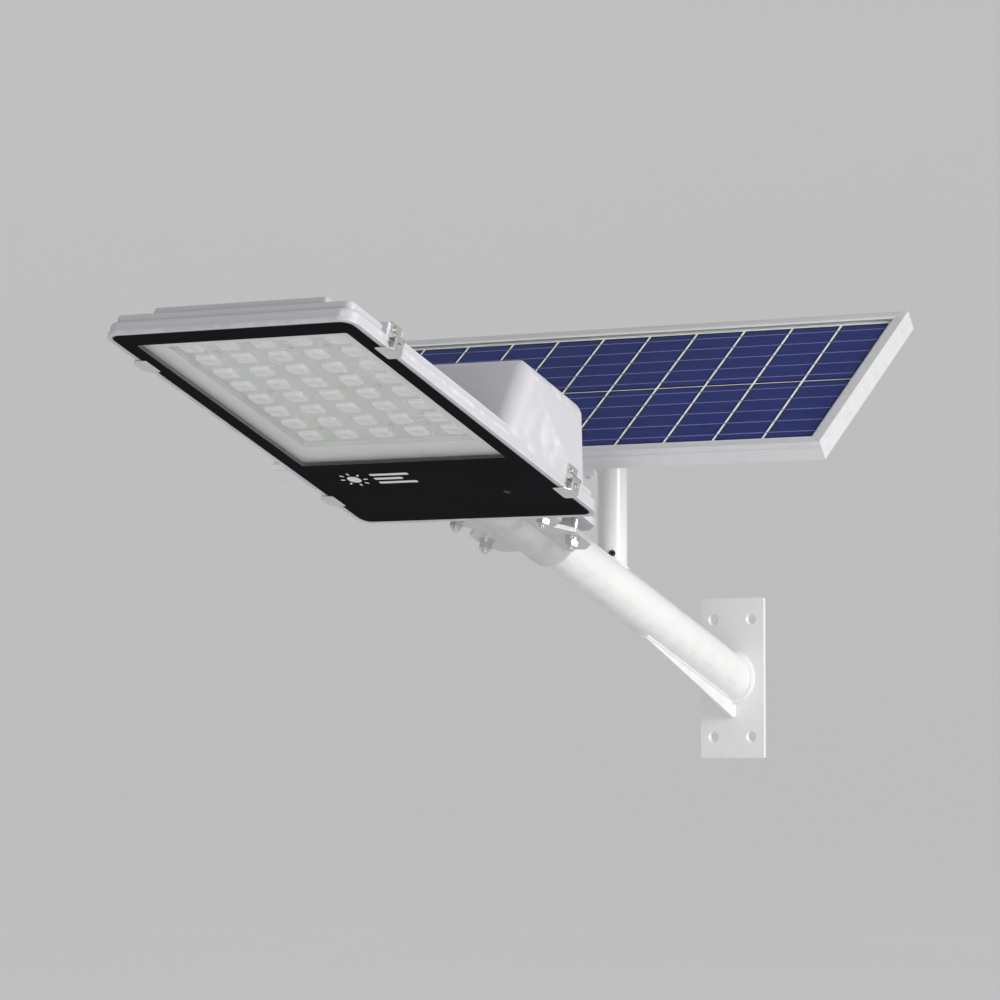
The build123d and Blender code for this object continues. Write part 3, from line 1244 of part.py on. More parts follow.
# ---- write every node ----
def main():
    os.makedirs("parts", exist_ok=True)
    world = Location((0, 0, 0))
    save("wall_plate", world, wall_plate())
    save("arm_tube", world, arm_tube())
    save("gusset_rib", world, rib())
    save("panel_post", world, panel_post())
    save("post_grommet", world, post_grommet())
    save("post_set_screws", world, *set_screws())

    save("swivel_yoke", world, swivel_yoke())
    save("tilt_bolt", world, tilt_bolt())
    save("tilt_washers", world, *tilt_washers())
    save("tilt_nut", world, tilt_nut())

    bars = frame_bars()
    drills = frame_bolt_drills()
    for side, bar in bars.items():
        if side in ("top", "bottom"):
            for drill in drills:
                bar -= drill
        save(f"frame_{side}", PANEL_FRAME, bar)
    glass_base = seat_height() + BACKSHEET_THICK + CELL_THICK
    save("frame_corner_keys", PANEL_FRAME, *corner_keys())
    save("panel_glass", PANEL_FRAME, laminate_layer(glass_base, PANEL_GLASS_THICK))
    save("solar_cells", PANEL_FRAME, *panel_cells())
    save("panel_backsheet", PANEL_FRAME, laminate_layer(seat_height(), BACKSHEET_THICK))
    save("rail_left", PANEL_FRAME, rail(-1))
    save("rail_right", PANEL_FRAME, rail(1))
    save("tilt_bracket", PANEL_FRAME, tilt_bracket())
    frame_bolts, frame_nuts = rail_bolts()
    plate_bolts, plate_nuts = bracket_bolts()
    save("rail_bolts", PANEL_FRAME, *frame_bolts)
    save("bracket_bolts", PANEL_FRAME, *plate_bolts)
    save("panel_nuts", PANEL_FRAME, *frame_nuts, *plate_nuts)
    shell, lid, gland, terminals = junction_box()
    save("junction_box", PANEL_FRAME, shell)
    save("junction_lid", PANEL_FRAME, lid)
    save("junction_gland", PANEL_FRAME, gland)
    save("junction_terminals", PANEL_FRAME, *terminals)

    save("lamp_housing", LAMP_FRAME, lamp_housing())
    save("cover_gasket", LAMP_FRAME, cover_gasket())
    save("cover_glass", LAMP_FRAME, cover_glass())
    save("led_board", LAMP_FRAME, led_board())
    save("led_chips", LAMP_FRAME, *led_chips())
    save("lens_plate", LAMP_FRAME, lens_plate())
    save("engine_screws", LAMP_FRAME, *engine_screws())
    save("reflector_tray", LAMP_FRAME, reflector_tray())
    save("gear_plate", LAMP_FRAME, gear_plate())
    save("gear_screws", LAMP_FRAME, *gear_screws())
    save("battery_cells", LAMP_FRAME, *battery_cells())
    save("cell_holders", LAMP_FRAME, *cell_holders())
    save("battery_strap", LAMP_FRAME, battery_strap())
    case, board, parts = controller()
    save("controller_case", LAMP_FRAME, case)
    save("controller_board", LAMP_FRAME, board)
    save("controller_parts", LAMP_FRAME, *parts)
    sleeve, receiver = sensor()
    save("sensor_sleeve", LAMP_FRAME, sleeve)
    save("remote_sensor", LAMP_FRAME, receiver)
    lamp_gland, lock_nut = cable_gland()
    save("lamp_gland", LAMP_FRAME, lamp_gland)
    save("gland_lock_nut", LAMP_FRAME, lock_nut)
    save("clamp_plate", LAMP_FRAME, clamp_plate())
    bolts, washers, springs, nuts = clamp_fasteners()
    save("clamp_bolts", LAMP_FRAME, *bolts)
    save("clamp_washers", LAMP_FRAME, *washers)
    save("clamp_spring_washers", LAMP_FRAME, *springs)
    save("clamp_nuts", LAMP_FRAME, *nuts)

    sides = {"left": -1, "right": 1}
    rows = {"near": -LATCH_NEAR, "far": -LATCH_FAR}
    spots = [(side, y) for side in sides.values() for y in rows.values()]
    save("latch_bases", LAMP_FRAME, *[latch_base(side, y) for side, y in spots])
    save("latch_pins", LAMP_FRAME, *[latch_pin(side, y) for side, y in spots])
    save("latch_screws", LAMP_FRAME, *[latch_screw(side, y) for side, y in spots])
    for side_name, side in sides.items():
        for row_name, y in rows.items():
            save(f"latch_{row_name}_{side_name}", LAMP_FRAME, latch_lever(side, y))


main()
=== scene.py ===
import json
from math import atan2, ceil, cos, pi, radians, sin, sqrt, tan

import bmesh
import bpy
from mathutils import Matrix, Vector


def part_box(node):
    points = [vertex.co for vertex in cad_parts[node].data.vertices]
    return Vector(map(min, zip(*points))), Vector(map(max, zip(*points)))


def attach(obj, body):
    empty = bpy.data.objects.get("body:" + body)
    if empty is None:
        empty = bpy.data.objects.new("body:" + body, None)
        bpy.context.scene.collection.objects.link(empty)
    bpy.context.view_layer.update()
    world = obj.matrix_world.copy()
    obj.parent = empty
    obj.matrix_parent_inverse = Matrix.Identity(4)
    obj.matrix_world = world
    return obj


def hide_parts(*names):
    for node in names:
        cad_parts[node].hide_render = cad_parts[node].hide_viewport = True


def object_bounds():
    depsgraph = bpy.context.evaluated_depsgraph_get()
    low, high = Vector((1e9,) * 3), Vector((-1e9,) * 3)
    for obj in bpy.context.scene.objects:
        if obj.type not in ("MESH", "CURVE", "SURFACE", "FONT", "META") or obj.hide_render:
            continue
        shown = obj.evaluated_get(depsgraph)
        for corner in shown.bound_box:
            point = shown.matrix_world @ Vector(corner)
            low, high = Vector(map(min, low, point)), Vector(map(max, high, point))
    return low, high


# Solar street lamp: a lamp head clamped on a rising wall arm, and a framed solar panel on the arm's post.
# Metres everywhere. Each new piece is shaped in the axes of the arm, the lamp or the panel, which are read
# from the frame.

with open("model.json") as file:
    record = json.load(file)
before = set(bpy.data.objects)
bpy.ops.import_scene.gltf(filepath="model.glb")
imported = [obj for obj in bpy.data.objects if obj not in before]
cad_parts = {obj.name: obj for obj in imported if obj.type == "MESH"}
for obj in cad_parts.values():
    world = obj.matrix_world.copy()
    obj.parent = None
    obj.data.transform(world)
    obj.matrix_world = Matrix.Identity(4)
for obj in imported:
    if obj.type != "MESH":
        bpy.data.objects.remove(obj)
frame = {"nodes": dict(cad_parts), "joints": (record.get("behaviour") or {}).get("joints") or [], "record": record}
cad_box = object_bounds()

MM = 0.001
NODES = frame["nodes"]
X_WAY = Vector((1, 0, 0))
ACROSS_Y = Vector((0, 1, 0))
UP = Vector((0, 0, 1))
AS_IT_LIES = Matrix.Identity(4)  # the place of a piece that is shaped in the frame's own axes
SAME_CORNER = 1e-6  # corners nearer than this are one

# ---- camera and room ----
CAMERA_AT = (2.35724, -4.42349, -0.10769)
CAMERA_AZIMUTH = 31.07  # degrees from +Y towards -X
CAMERA_PITCH = 3.53  # degrees above the horizontal
CAMERA_LENS = 159.84
CAMERA_REACH = 60
FLOOR_HEIGHT = -0.5
ROOM_RADIUS = 9.0
ROOM_GLOW = 0.34
BACKDROP_BEND = 2.5
BACKDROP_TOP = 7.0
BEND_STEPS = 16
ROOM_STEPS = 96
AIR_COLOUR = (0.97, 0.975, 1.0, 1.0)
AIR_GLOW = 0.26
LIGHTS = (  # name, place from the object's middle, disc size, power, colour
    ("key_light", (3.4, -0.5, 0.7), 1.6, 86, (1.0, 0.99, 0.97)),
    ("top_light", (0.4, 0.2, 3.2), 2.4, 12, (1.0, 1.0, 1.0)),
    ("low_light", (0.9, -2.2, -0.45), 1.4, 12, (1.0, 1.0, 1.0)),
)

# ---- cover glass ----
EDGE_CHAMFER = 0.6 * MM
GLASS_CORNER = 12 * MM
WINDOW_HALF = 119.5 * MM
WINDOW_NEAR = 151 * MM  # from the glass's near edge
WINDOW_FAR = 453.5 * MM
WINDOW_CORNER = 2.5 * MM
WINDOW_SPARE = 5 * MM  # the border on the back face starts this much further out
PRINT_RISE = 0.04 * MM
MARK_PLACE = (-51 * MM, 112 * MM)  # across, and out from the near edge
SUN_OFFSET = -30 * MM
SUN_DISC = 15 * MM
SUN_DISC_CORNER = 7.4 * MM
SUN_RAYS = 8
SUN_RAY = (5 * MM, 2.4 * MM)
SUN_RAY_CORNER = 1.1 * MM
SUN_RAY_PLACE = 13.5 * MM  # from the sun's middle
BARS_START = -6 * MM
BAR_LENGTHS = (46, 34, 46)  # millimetres
BAR_WIDTH = 5 * MM
BAR_CORNER = 2.3 * MM
BAR_PITCH = 10 * MM
SENSOR_RIM = 0.6 * MM
SENSOR_RISE = 0.12 * MM
SENSOR_SHOULDER = (0.8, 0.8)  # share of the spot's radius, and share of its rise

# ---- lenses ----
LENS_SIZE = (25 * MM, 20 * MM)
LENS_CORNER = 5 * MM
LENS_RISE = 3.4 * MM
LENS_PLATE_CORNER = 2.5 * MM
LENS_PLATE_RIM = 0.5 * MM
# share of the lens's size, and share of its rise, from the plate up and into the dimple
LENS_STEPS = ((1.0, 0.0), (0.975, 0.42), (0.93, 0.72), (0.85, 0.92), (0.7, 1.0), (0.42, 0.97), (0.16, 0.8))

# ---- solar panel ----
# width of the dark outline painted as shade round each cell
CELL_OUTLINE = 1.7 * MM
RIBBONS_PER_ROW = 5
RIBBON_WIDTH = 1.3 * MM
RIBBON_THICK = 0.08 * MM
RIBBON_SPARE = 3 * MM
LAYER_GAP = 0.12 * MM
PANE_CHAMFER = 0.3 * MM
FRAME_LIP = 9 * MM
# a white bead on the glass along the frame's lip, painted light over the lip's shade
SEAL_WIDTH = 4.2 * MM
SEAL_RISE = 0.5 * MM
SEAL_FALL = 0.6  # share of the rise left at the white bead's inner edge
SEAL_LINE = 0.9 * MM  # thin grey edge of the white bead

# ---- rail end plugs ----
PLUG_STEPS = ((0.1 * MM, 0.0), (0.1 * MM, 1.0 * MM), (0.5 * MM, 1.6 * MM))  # inset, and out from the rail
PLUG_CORNER = 0.8 * MM
PLUG_GAP = 0.02 * MM

# ---- welds and fasteners ----
WELD_RADIUS = 4.2 * MM
POST_WELD_RADIUS = 2.2 * MM
THIN_WELD_RADIUS = 2.0 * MM
WELD_RIPPLE = 0.03
WELD_PITCH = 3.2 * MM
WELD_SIDES = 10
WELD_ROWS = 3  # rows of corners in one ripple
WELD_RING_STEPS = 160
WALL_WELD_STEPS = 24
WALL_WELD_FOOT = 2 * MM
ROUND_STEPS = 48
THREAD_SIDES = 24
THREAD_ROWS = 4  # rows of corners in one turn of thread
PITCH_SHARE = 0.15  # thread pitch over diameter
THREAD_SHARE = 2.2  # threaded length over diameter
THREAD_DEPTH = 0.5  # of the pitch
THREAD_TIP = 0.92  # of the thread's root
HEAD_CIRCLE = 0.96  # chamfer circle over the width across flats
HEAD_CHAMFER = radians(30)
BORE_SINK = 0.14  # of the bore's radius
HEX_SHARE = 0.98  # a hexagon's corners lie past this share of the greatest radius
SHANK_SHARE = 0.8  # and a shank or bore lies inside this share
MOSTLY = 0.9  # a unit direction with this much of an axis runs along it
CORNER_ANGLE = radians(32)


# ---- places ----
def joint(name):
    """The frame's entry for one joint."""
    return next(j for j in frame["joints"] if j["name"] == name)


def placed(origin, z_way):
    """A place with X along the wall, Z along z_way and its zero at origin."""
    z = Vector(z_way).normalized()
    return Matrix.Translation(origin) @ Matrix((X_WAY, z.cross(X_WAY), z)).transposed().to_4x4()


def aimed(origin, z_way, x_way):
    """A place with Z along z_way and X as near x_way as it can be."""
    z = Vector(z_way).normalized()
    x = Vector(x_way)
    x = (x - z * x.dot(z)).normalized()
    return Matrix.Translation(origin) @ Matrix((x, z.cross(x), z)).transposed().to_4x4()


def spread(points):
    """Lowest and highest corner of some points."""
    low = Vector(min(p[i] for p in points) for i in range(3))
    high = Vector(max(p[i] for p in points) for i in range(3))
    return low, high


def local_box(node, place):
    """A node's lowest and highest corner in a place's own axes."""
    into = place.inverted()
    return spread([into @ v.co for v in NODES[node].data.vertices])


def solids(node):
    """The corner points of each separate solid of a node."""
    mesh = bmesh.new()
    mesh.from_mesh(NODES[node].data)
    bmesh.ops.remove_doubles(mesh, verts=mesh.verts, dist=SAME_CORNER)
    found, seen = [], set()
    for start in mesh.verts:
        if start in seen:
            continue
        group, todo = [], [start]
        seen.add(start)
        while todo:
            vert = todo.pop()
            group.append(vert.co.copy())
            for edge in vert.link_edges:
                other = edge.other_vert(vert)
                if other not in seen:
                    seen.add(other)
                    todo.append(other)
        found.append(group)
    mesh.free()
    return found


arm_way = Vector(joint("lamp_roll")["axis"]).normalized()  # from the wall out to the lamp
arm_up = X_WAY.cross(-arm_way)
roll_at = Vector(joint("lamp_roll")["pos_m"])
plate_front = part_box("wall_plate")[0].y
ARM = placed(roll_at + arm_way * ((plate_front - roll_at.y) / arm_way.y), arm_up)
glass_low, glass_high = local_box("cover_glass", ARM)
LAMP = ARM @ Matrix.Translation((0, glass_high.y, glass_low.z))  # zero on the glass's near edge, outer face
PANEL_NORMAL = max(NODES["panel_glass"].data.polygons, key=lambda p: p.area * p.normal.z).normal.copy()
PANEL = placed(joint("panel_tilt")["pos_m"], PANEL_NORMAL)


# ---- mesh helpers ----
def rounded_rect(width, length, radius, middle=(0, 0), steps=10):
    """Corner-rounded outline, anticlockwise, with the same number of points for any size."""
    points = []
    for quarter in range(4):
        turn = quarter * pi / 2
        side_x = 1 if quarter in (0, 3) else -1
        side_y = 1 if quarter in (0, 1) else -1
        cx = middle[0] + side_x * (width / 2 - radius)
        cy = middle[1] + side_y * (length / 2 - radius)
        for step in range(steps + 1):
            angle = turn + step / steps * pi / 2
            points.append((cx + radius * cos(angle), cy + radius * sin(angle)))
    return points


def rectangle(middle, half, inset=0.0):
    """Corners of a rectangle, anticlockwise, drawn in by an inset."""
    corners = ((-1, -1), (1, -1), (1, 1), (-1, 1))
    half_x, half_y = half[0] - inset, half[1] - inset
    return [(middle[0] + sx * half_x, middle[1] + sy * half_y) for sx, sy in corners]


def around(steps):
    """Angles spread evenly over one turn."""
    return [step / steps * 2 * pi for step in range(steps)]


def loop(mesh, outline, z):
    """The corners of an outline at a height."""
    return [mesh.verts.new((x, y, z)) for x, y in outline]


def circle_loop(mesh, place, radius, z, steps):
    """A loop of corners about a place's Z."""
    points = [Vector((radius * cos(a), radius * sin(a), z)) for a in around(steps)]
    return [mesh.verts.new(place @ point) for point in points]


def bridge(mesh, lower, upper, index=0):
    """Quads between two loops of the same number of points."""
    count = len(lower)
    for i in range(count):
        j = (i + 1) % count
        face = mesh.faces.new((lower[i], lower[j], upper[j], upper[i]))
        face.material_index = index


def cap(mesh, verts, index=0, flip=False):
    """One face over a loop of corners."""
    face = mesh.faces.new(list(reversed(verts)) if flip else verts)
    face.material_index = index


def bar(mesh, low, high, chamfer=0.0):
    """A straight bar between two corners, with its top edges chamfered."""
    middle = ((low[0] + high[0]) / 2, (low[1] + high[1]) / 2)
    half = ((high[0] - low[0]) / 2, (high[1] - low[1]) / 2)
    levels = [(0, low[2]), (0, high[2] - chamfer)]
    if chamfer:
        levels.append((chamfer, high[2]))
    loops = [loop(mesh, rectangle(middle, half, inset), z) for inset, z in levels]
    for lower, upper in zip(loops, loops[1:]):
        bridge(mesh, lower, upper)
    cap(mesh, loops[0], flip=True)
    cap(mesh, loops[-1])


def lathe(mesh, profile, place, steps=ROUND_STEPS):
    """A solid of revolution about a place's Z from (radius, height) pairs; a zero radius closes an end."""
    rings = []
    for radius, height in profile:
        if radius <= 0:
            rings.append([mesh.verts.new(place @ Vector((0, 0, height)))])
            continue
        rings.append(circle_loop(mesh, place, radius, height, steps))
    for lower, upper in zip(rings, rings[1:]):
        if len(lower) == 1 or len(upper) == 1:
            point, round_ = (lower[0], upper) if len(lower) == 1 else (upper[0], lower)
            for i, vert in enumerate(round_):
                after = round_[(i + 1) % steps]
                mesh.faces.new((point, after, vert) if len(lower) == 1 else (point, vert, after))
            continue
        bridge(mesh, lower, upper)
    return rings


def add_piece(name, mesh, place, materials, body, replaces=()):
    """Turns a bmesh shaped in a place's axes into a finished piece that rides on a body."""
    bmesh.ops.recalc_face_normals(mesh, faces=mesh.faces)
    data = bpy.data.meshes.new(name)
    mesh.to_mesh(data)
    mesh.free()
    data.transform(place)
    for material in materials:
        data.materials.append(material)
    data.polygons.foreach_set("use_smooth", [True] * len(data.polygons))
    data.set_sharp_from_angle(angle=CORNER_ANGLE)
    piece = bpy.data.objects.new(name, data)
    bpy.context.scene.collection.objects.link(piece)
    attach(piece, body)
    if replaces:
        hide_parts(*replaces)


# ---- shader helpers ----
DUST_COLOUR = (0.46, 0.43, 0.38, 1.0)
DUST_CLOUDS = 22.0
DUST_ROUGHNESS = 0.4
RELIEF = 0.6
FINGER_PITCH = 2.1 * MM  # thin collector lines of a cell
CRYSTALS = 85.0
TRACKS = 130.0


def put(tree, kind, sockets=None, **settings):
    """Adds a shader node; sockets gives its inputs plain values or other nodes' outputs."""
    made = tree.nodes.new("ShaderNode" + kind)
    for key, value in settings.items():
        setattr(made, key, value)
    for key, value in (sockets or {}).items():
        if isinstance(value, bpy.types.NodeSocket):
            tree.links.new(value, made.inputs[key])
        else:
            made.inputs[key].default_value = value
    return made


def calc(tree, operation, first, second=0.0, clamp=False):
    return put(tree, "Math", {0: first, 1: second}, operation=operation, use_clamp=clamp).outputs[0]


def remap(tree, value, low, high, to_low=0.0, to_high=1.0):
    return put(tree, "MapRange", {0: value, 1: low, 2: high, 3: to_low, 4: to_high}).outputs[0]


def weighted(tree, first, share, second):
    """A share of the first value with the rest of the second."""
    rest = calc(tree, "MULTIPLY", second, 1 - share)
    return calc(tree, "ADD", calc(tree, "MULTIPLY", first, share), rest)


def noise(tree, vector, scale, detail, roughness=0.5):
    """A cloudy value between 0 and 1."""
    sockets = {"Vector": vector, "Scale": scale, "Detail": detail, "Roughness": roughness}
    return put(tree, "TexNoise", sockets).outputs[0]


def blend_colour(tree, factor, first, second):
    mixed = put(tree, "Mix", {0: factor, 6: first, 7: second}, data_type="RGBA")
    return mixed.outputs[2]


def effect(title, inputs, outputs):
    """An empty shader node group with float inputs and outputs."""
    tree = bpy.data.node_groups.new(title, "ShaderNodeTree")
    for name, value in inputs:
        socket = tree.interface.new_socket(name=name, in_out="INPUT", socket_type="NodeSocketFloat")
        socket.default_value = value
    for name in outputs:
        tree.interface.new_socket(name=name, in_out="OUTPUT", socket_type="NodeSocketFloat")
    given = tree.nodes.new("NodeGroupInput").outputs
    result = tree.nodes.new("NodeGroupOutput").inputs
    return tree, given, result


def stretched(tree, way):
    """Object coordinates scaled along each axis."""
    coords = put(tree, "TexCoord").outputs["Object"]
    return put(tree, "VectorMath", {0: coords, 1: way}, operation="MULTIPLY").outputs[0]


def make_grain():
    """Fine cast or moulded grain, with slow drifts of tone."""
    tree, given, result = effect("surface_grain", (("Grain", 900.0), ("Drift", 9.0)), ("Height", "Tone"))
    coords = put(tree, "TexCoord").outputs["Object"]
    slow = noise(tree, coords, given["Drift"], 5.0, 0.55)
    tree.links.new(noise(tree, coords, given["Grain"], 3.0, 0.6), result["Height"])
    tree.links.new(remap(tree, slow, 0.3, 0.7), result["Tone"])
    return tree


def make_brushing():
    """Brushed or drawn lines along the object's X, broken into short strokes."""
    tree, given, result = effect("brushed_lines", (("Fineness", 1.0),), ("Height", "Tone"))
    lines = noise(tree, stretched(tree, (14.0, 900.0, 900.0)), given["Fineness"], 4.0, 0.7)
    bands = noise(tree, stretched(tree, (3.0, 160.0, 160.0)), given["Fineness"], 3.0)
    tree.links.new(lines, result["Height"])
    tree.links.new(remap(tree, weighted(tree, lines, 0.7, bands), 0.35, 0.65), result["Tone"])
    return tree


def make_wear():
    """Rubbed outer edges, patchy along their length."""
    tree, given, result = effect("worn_edges", (("Amount", 0.5), ("Patches", 60.0)), ("Mask",))
    coords = put(tree, "TexCoord").outputs["Object"]
    edges = remap(tree, put(tree, "NewGeometry").outputs["Pointiness"], 0.52, 0.6)
    patches = noise(tree, coords, given["Patches"], 4.0)
    patchy = calc(tree, "MULTIPLY", edges, remap(tree, patches, 0.4, 0.62))
    tree.links.new(calc(tree, "MULTIPLY", patchy, given["Amount"], clamp=True), result["Mask"])
    return tree


def make_dust():
    """A thin settled film on faces that look up."""
    tree, given, result = effect("settled_dust", (("Amount", 0.2),), ("Mask",))
    coords = put(tree, "TexCoord").outputs["Object"]
    normal = put(tree, "NewGeometry").outputs["Normal"]
    upward = remap(tree, put(tree, "SeparateXYZ", {0: normal}).outputs[2], 0.2, 1.0)
    clouds = noise(tree, coords, DUST_CLOUDS, 6.0, 0.65)
    film = calc(tree, "MULTIPLY", upward, remap(tree, clouds, 0.35, 0.7))
    tree.links.new(calc(tree, "MULTIPLY", film, given["Amount"], clamp=True), result["Mask"])
    return tree


def make_spangle():
    """Zinc crystals of different tones."""
    tree, given, result = effect("zinc_spangle", (("Size", 180.0),), ("Height", "Tone"))
    coords = put(tree, "TexCoord").outputs["Object"]
    cells = put(tree, "TexVoronoi", {"Vector": coords, "Scale": given["Size"]})
    tone = put(tree, "SeparateColor", {0: cells.outputs["Color"]}).outputs[0]
    tree.links.new(cells.outputs["Distance"], result["Height"])
    tree.links.new(tone, result["Tone"])
    return tree


GRAIN = make_grain()
BRUSHING = make_brushing()
WEAR = make_wear()
DUST = make_dust()
SPANGLE = make_spangle()


def placed_effect(tree, group, values):
    """Puts an effect into a material with its own values, and gives back what it puts out."""
    made = put(tree, "Group", node_tree=group)
    for key, value in values.items():
        made.inputs[key].default_value = value
    return made.outputs


def tinted(colour, share):
    """A colour made lighter or darker by a share, with full cover."""
    return tuple(min(c * share, 1.0) for c in colour[:3]) + (1.0,)


def new_material(name, colour, plain):
    material = bpy.data.materials.new(name)
    material.use_nodes = True
    tree = material.node_tree
    shader = tree.nodes["Principled BSDF"]
    shader.inputs["Base Color"].default_value = tuple(colour) + (1.0,)
    for key, value in plain.items():
        shader.inputs[key].default_value = value
    return material, tree, shader


def surface(name, colour, roughness, texture, depth, tone=0.05, wear=None, dust=0.0, uneven=0.06, **plain):
    """A finish: texture is (group, values), depth its relief in metres, wear is (amount, colour)."""
    keys = {key.replace("_", " ").title().replace("Ior", "IOR"): value for key, value in plain.items()}
    material, tree, shader = new_material(name, colour, keys)
    group, values = texture
    marks = placed_effect(tree, group, values)
    shade = blend_colour(tree, marks["Tone"], tinted(colour, 1 - tone), tinted(colour, 1 + tone))
    rough = remap(tree, marks["Tone"], 0.0, 1.0, roughness - uneven, roughness + uneven)
    if wear:
        mask = placed_effect(tree, WEAR, {"Amount": wear[0]})["Mask"]
        shade = blend_colour(tree, mask, shade, tinted(wear[1], 1.0))
    if dust:
        mask = placed_effect(tree, DUST, {"Amount": dust})["Mask"]
        shade = blend_colour(tree, mask, shade, DUST_COLOUR)
        rough = calc(tree, "ADD", rough, calc(tree, "MULTIPLY", mask, DUST_ROUGHNESS), clamp=True)
    bump = put(tree, "Bump", {"Height": marks["Height"], "Distance": depth, "Strength": RELIEF})
    tree.links.new(shade, shader.inputs["Base Color"])
    tree.links.new(rough, shader.inputs["Roughness"])
    tree.links.new(bump.outputs[0], shader.inputs["Normal"])
    return material


def glass(name, colour, ior, smear):
    """Clear glass that lets lamp light through to what lies behind it, with a faint greasy film."""
    keys = {"Transmission Weight": 1.0, "IOR": ior, "Roughness": 0.0}
    material, tree, shader = new_material(name, colour, keys)
    film = placed_effect(tree, GRAIN, {"Grain": 60.0, "Drift": 14.0})["Tone"]
    tree.links.new(remap(tree, film, 0.4, 1.0, 0.0, smear), shader.inputs["Roughness"])
    clear = put(tree, "BsdfTransparent", {"Color": tinted(colour, 1.0)})
    shadow = put(tree, "LightPath").outputs["Is Shadow Ray"]
    mixed = put(tree, "MixShader", {0: shadow, 1: shader.outputs[0], 2: clear.outputs[0]})
    tree.links.new(mixed.outputs[0], tree.nodes["Material Output"].inputs["Surface"])
    return material


def cell_material():
    """Polycrystalline silicon: blue crystal patches under fine collector lines."""
    material, tree, shader = new_material("solar_cell_blue", (0.01, 0.019, 0.125), {"IOR": 1.12})
    coords = put(tree, "TexCoord").outputs["Object"]
    patches = put(tree, "TexVoronoi", {"Vector": stretched(tree, (1.0, 1.6, 1.6)), "Scale": CRYSTALS})
    tone = put(tree, "SeparateColor", {0: patches.outputs["Color"]}).outputs[0]
    mixed = weighted(tree, tone, 0.6, noise(tree, coords, 7.0, 3.0))
    blue = blend_colour(tree, mixed, (0.008, 0.015, 0.1, 1.0), (0.014, 0.026, 0.15, 1.0))
    across = put(tree, "SeparateXYZ", {0: coords}).outputs[0]
    wave = calc(tree, "SINE", calc(tree, "MULTIPLY", across, 2 * pi / FINGER_PITCH))
    finger = remap(tree, wave, 0.93, 1.0, 0.0, 0.1)
    shade = blend_colour(tree, finger, blue, (0.3, 0.32, 0.5, 1.0))
    tree.links.new(shade, shader.inputs["Base Color"])
    tree.links.new(remap(tree, tone, 0.0, 1.0, 0.28, 0.46), shader.inputs["Roughness"])
    bump = put(tree, "Bump", {"Height": tone, "Distance": 0.02 * MM, "Strength": 0.3})
    tree.links.new(bump.outputs[0], shader.inputs["Normal"])
    return material


def board_material(name, mask_colour, copper):
    """Solder mask with printed tracks showing as raised lines."""
    material, tree, shader = new_material(name, mask_colour, {"Coat Weight": 0.3})
    coords = put(tree, "TexCoord").outputs["Object"]
    tracks = put(tree, "TexVoronoi", {"Vector": coords, "Scale": TRACKS}, feature="DISTANCE_TO_EDGE")
    line = remap(tree, tracks.outputs["Distance"], 0.03, 0.06, 1.0, 0.0)
    shown = calc(tree, "MULTIPLY", line, 0.6)
    shade = blend_colour(tree, shown, tinted(mask_colour, 1.0), tinted(copper, 1.0))
    bump = put(tree, "Bump", {"Height": line, "Distance": 0.05 * MM, "Strength": 0.5})
    tree.links.new(shade, shader.inputs["Base Color"])
    tree.links.new(remap(tree, line, 0.0, 1.0, 0.42, 0.3), shader.inputs["Roughness"])
    tree.links.new(bump.outputs[0], shader.inputs["Normal"])
    return material


def grain(size, drift=9.0):
    return GRAIN, {"Grain": size, "Drift": drift}


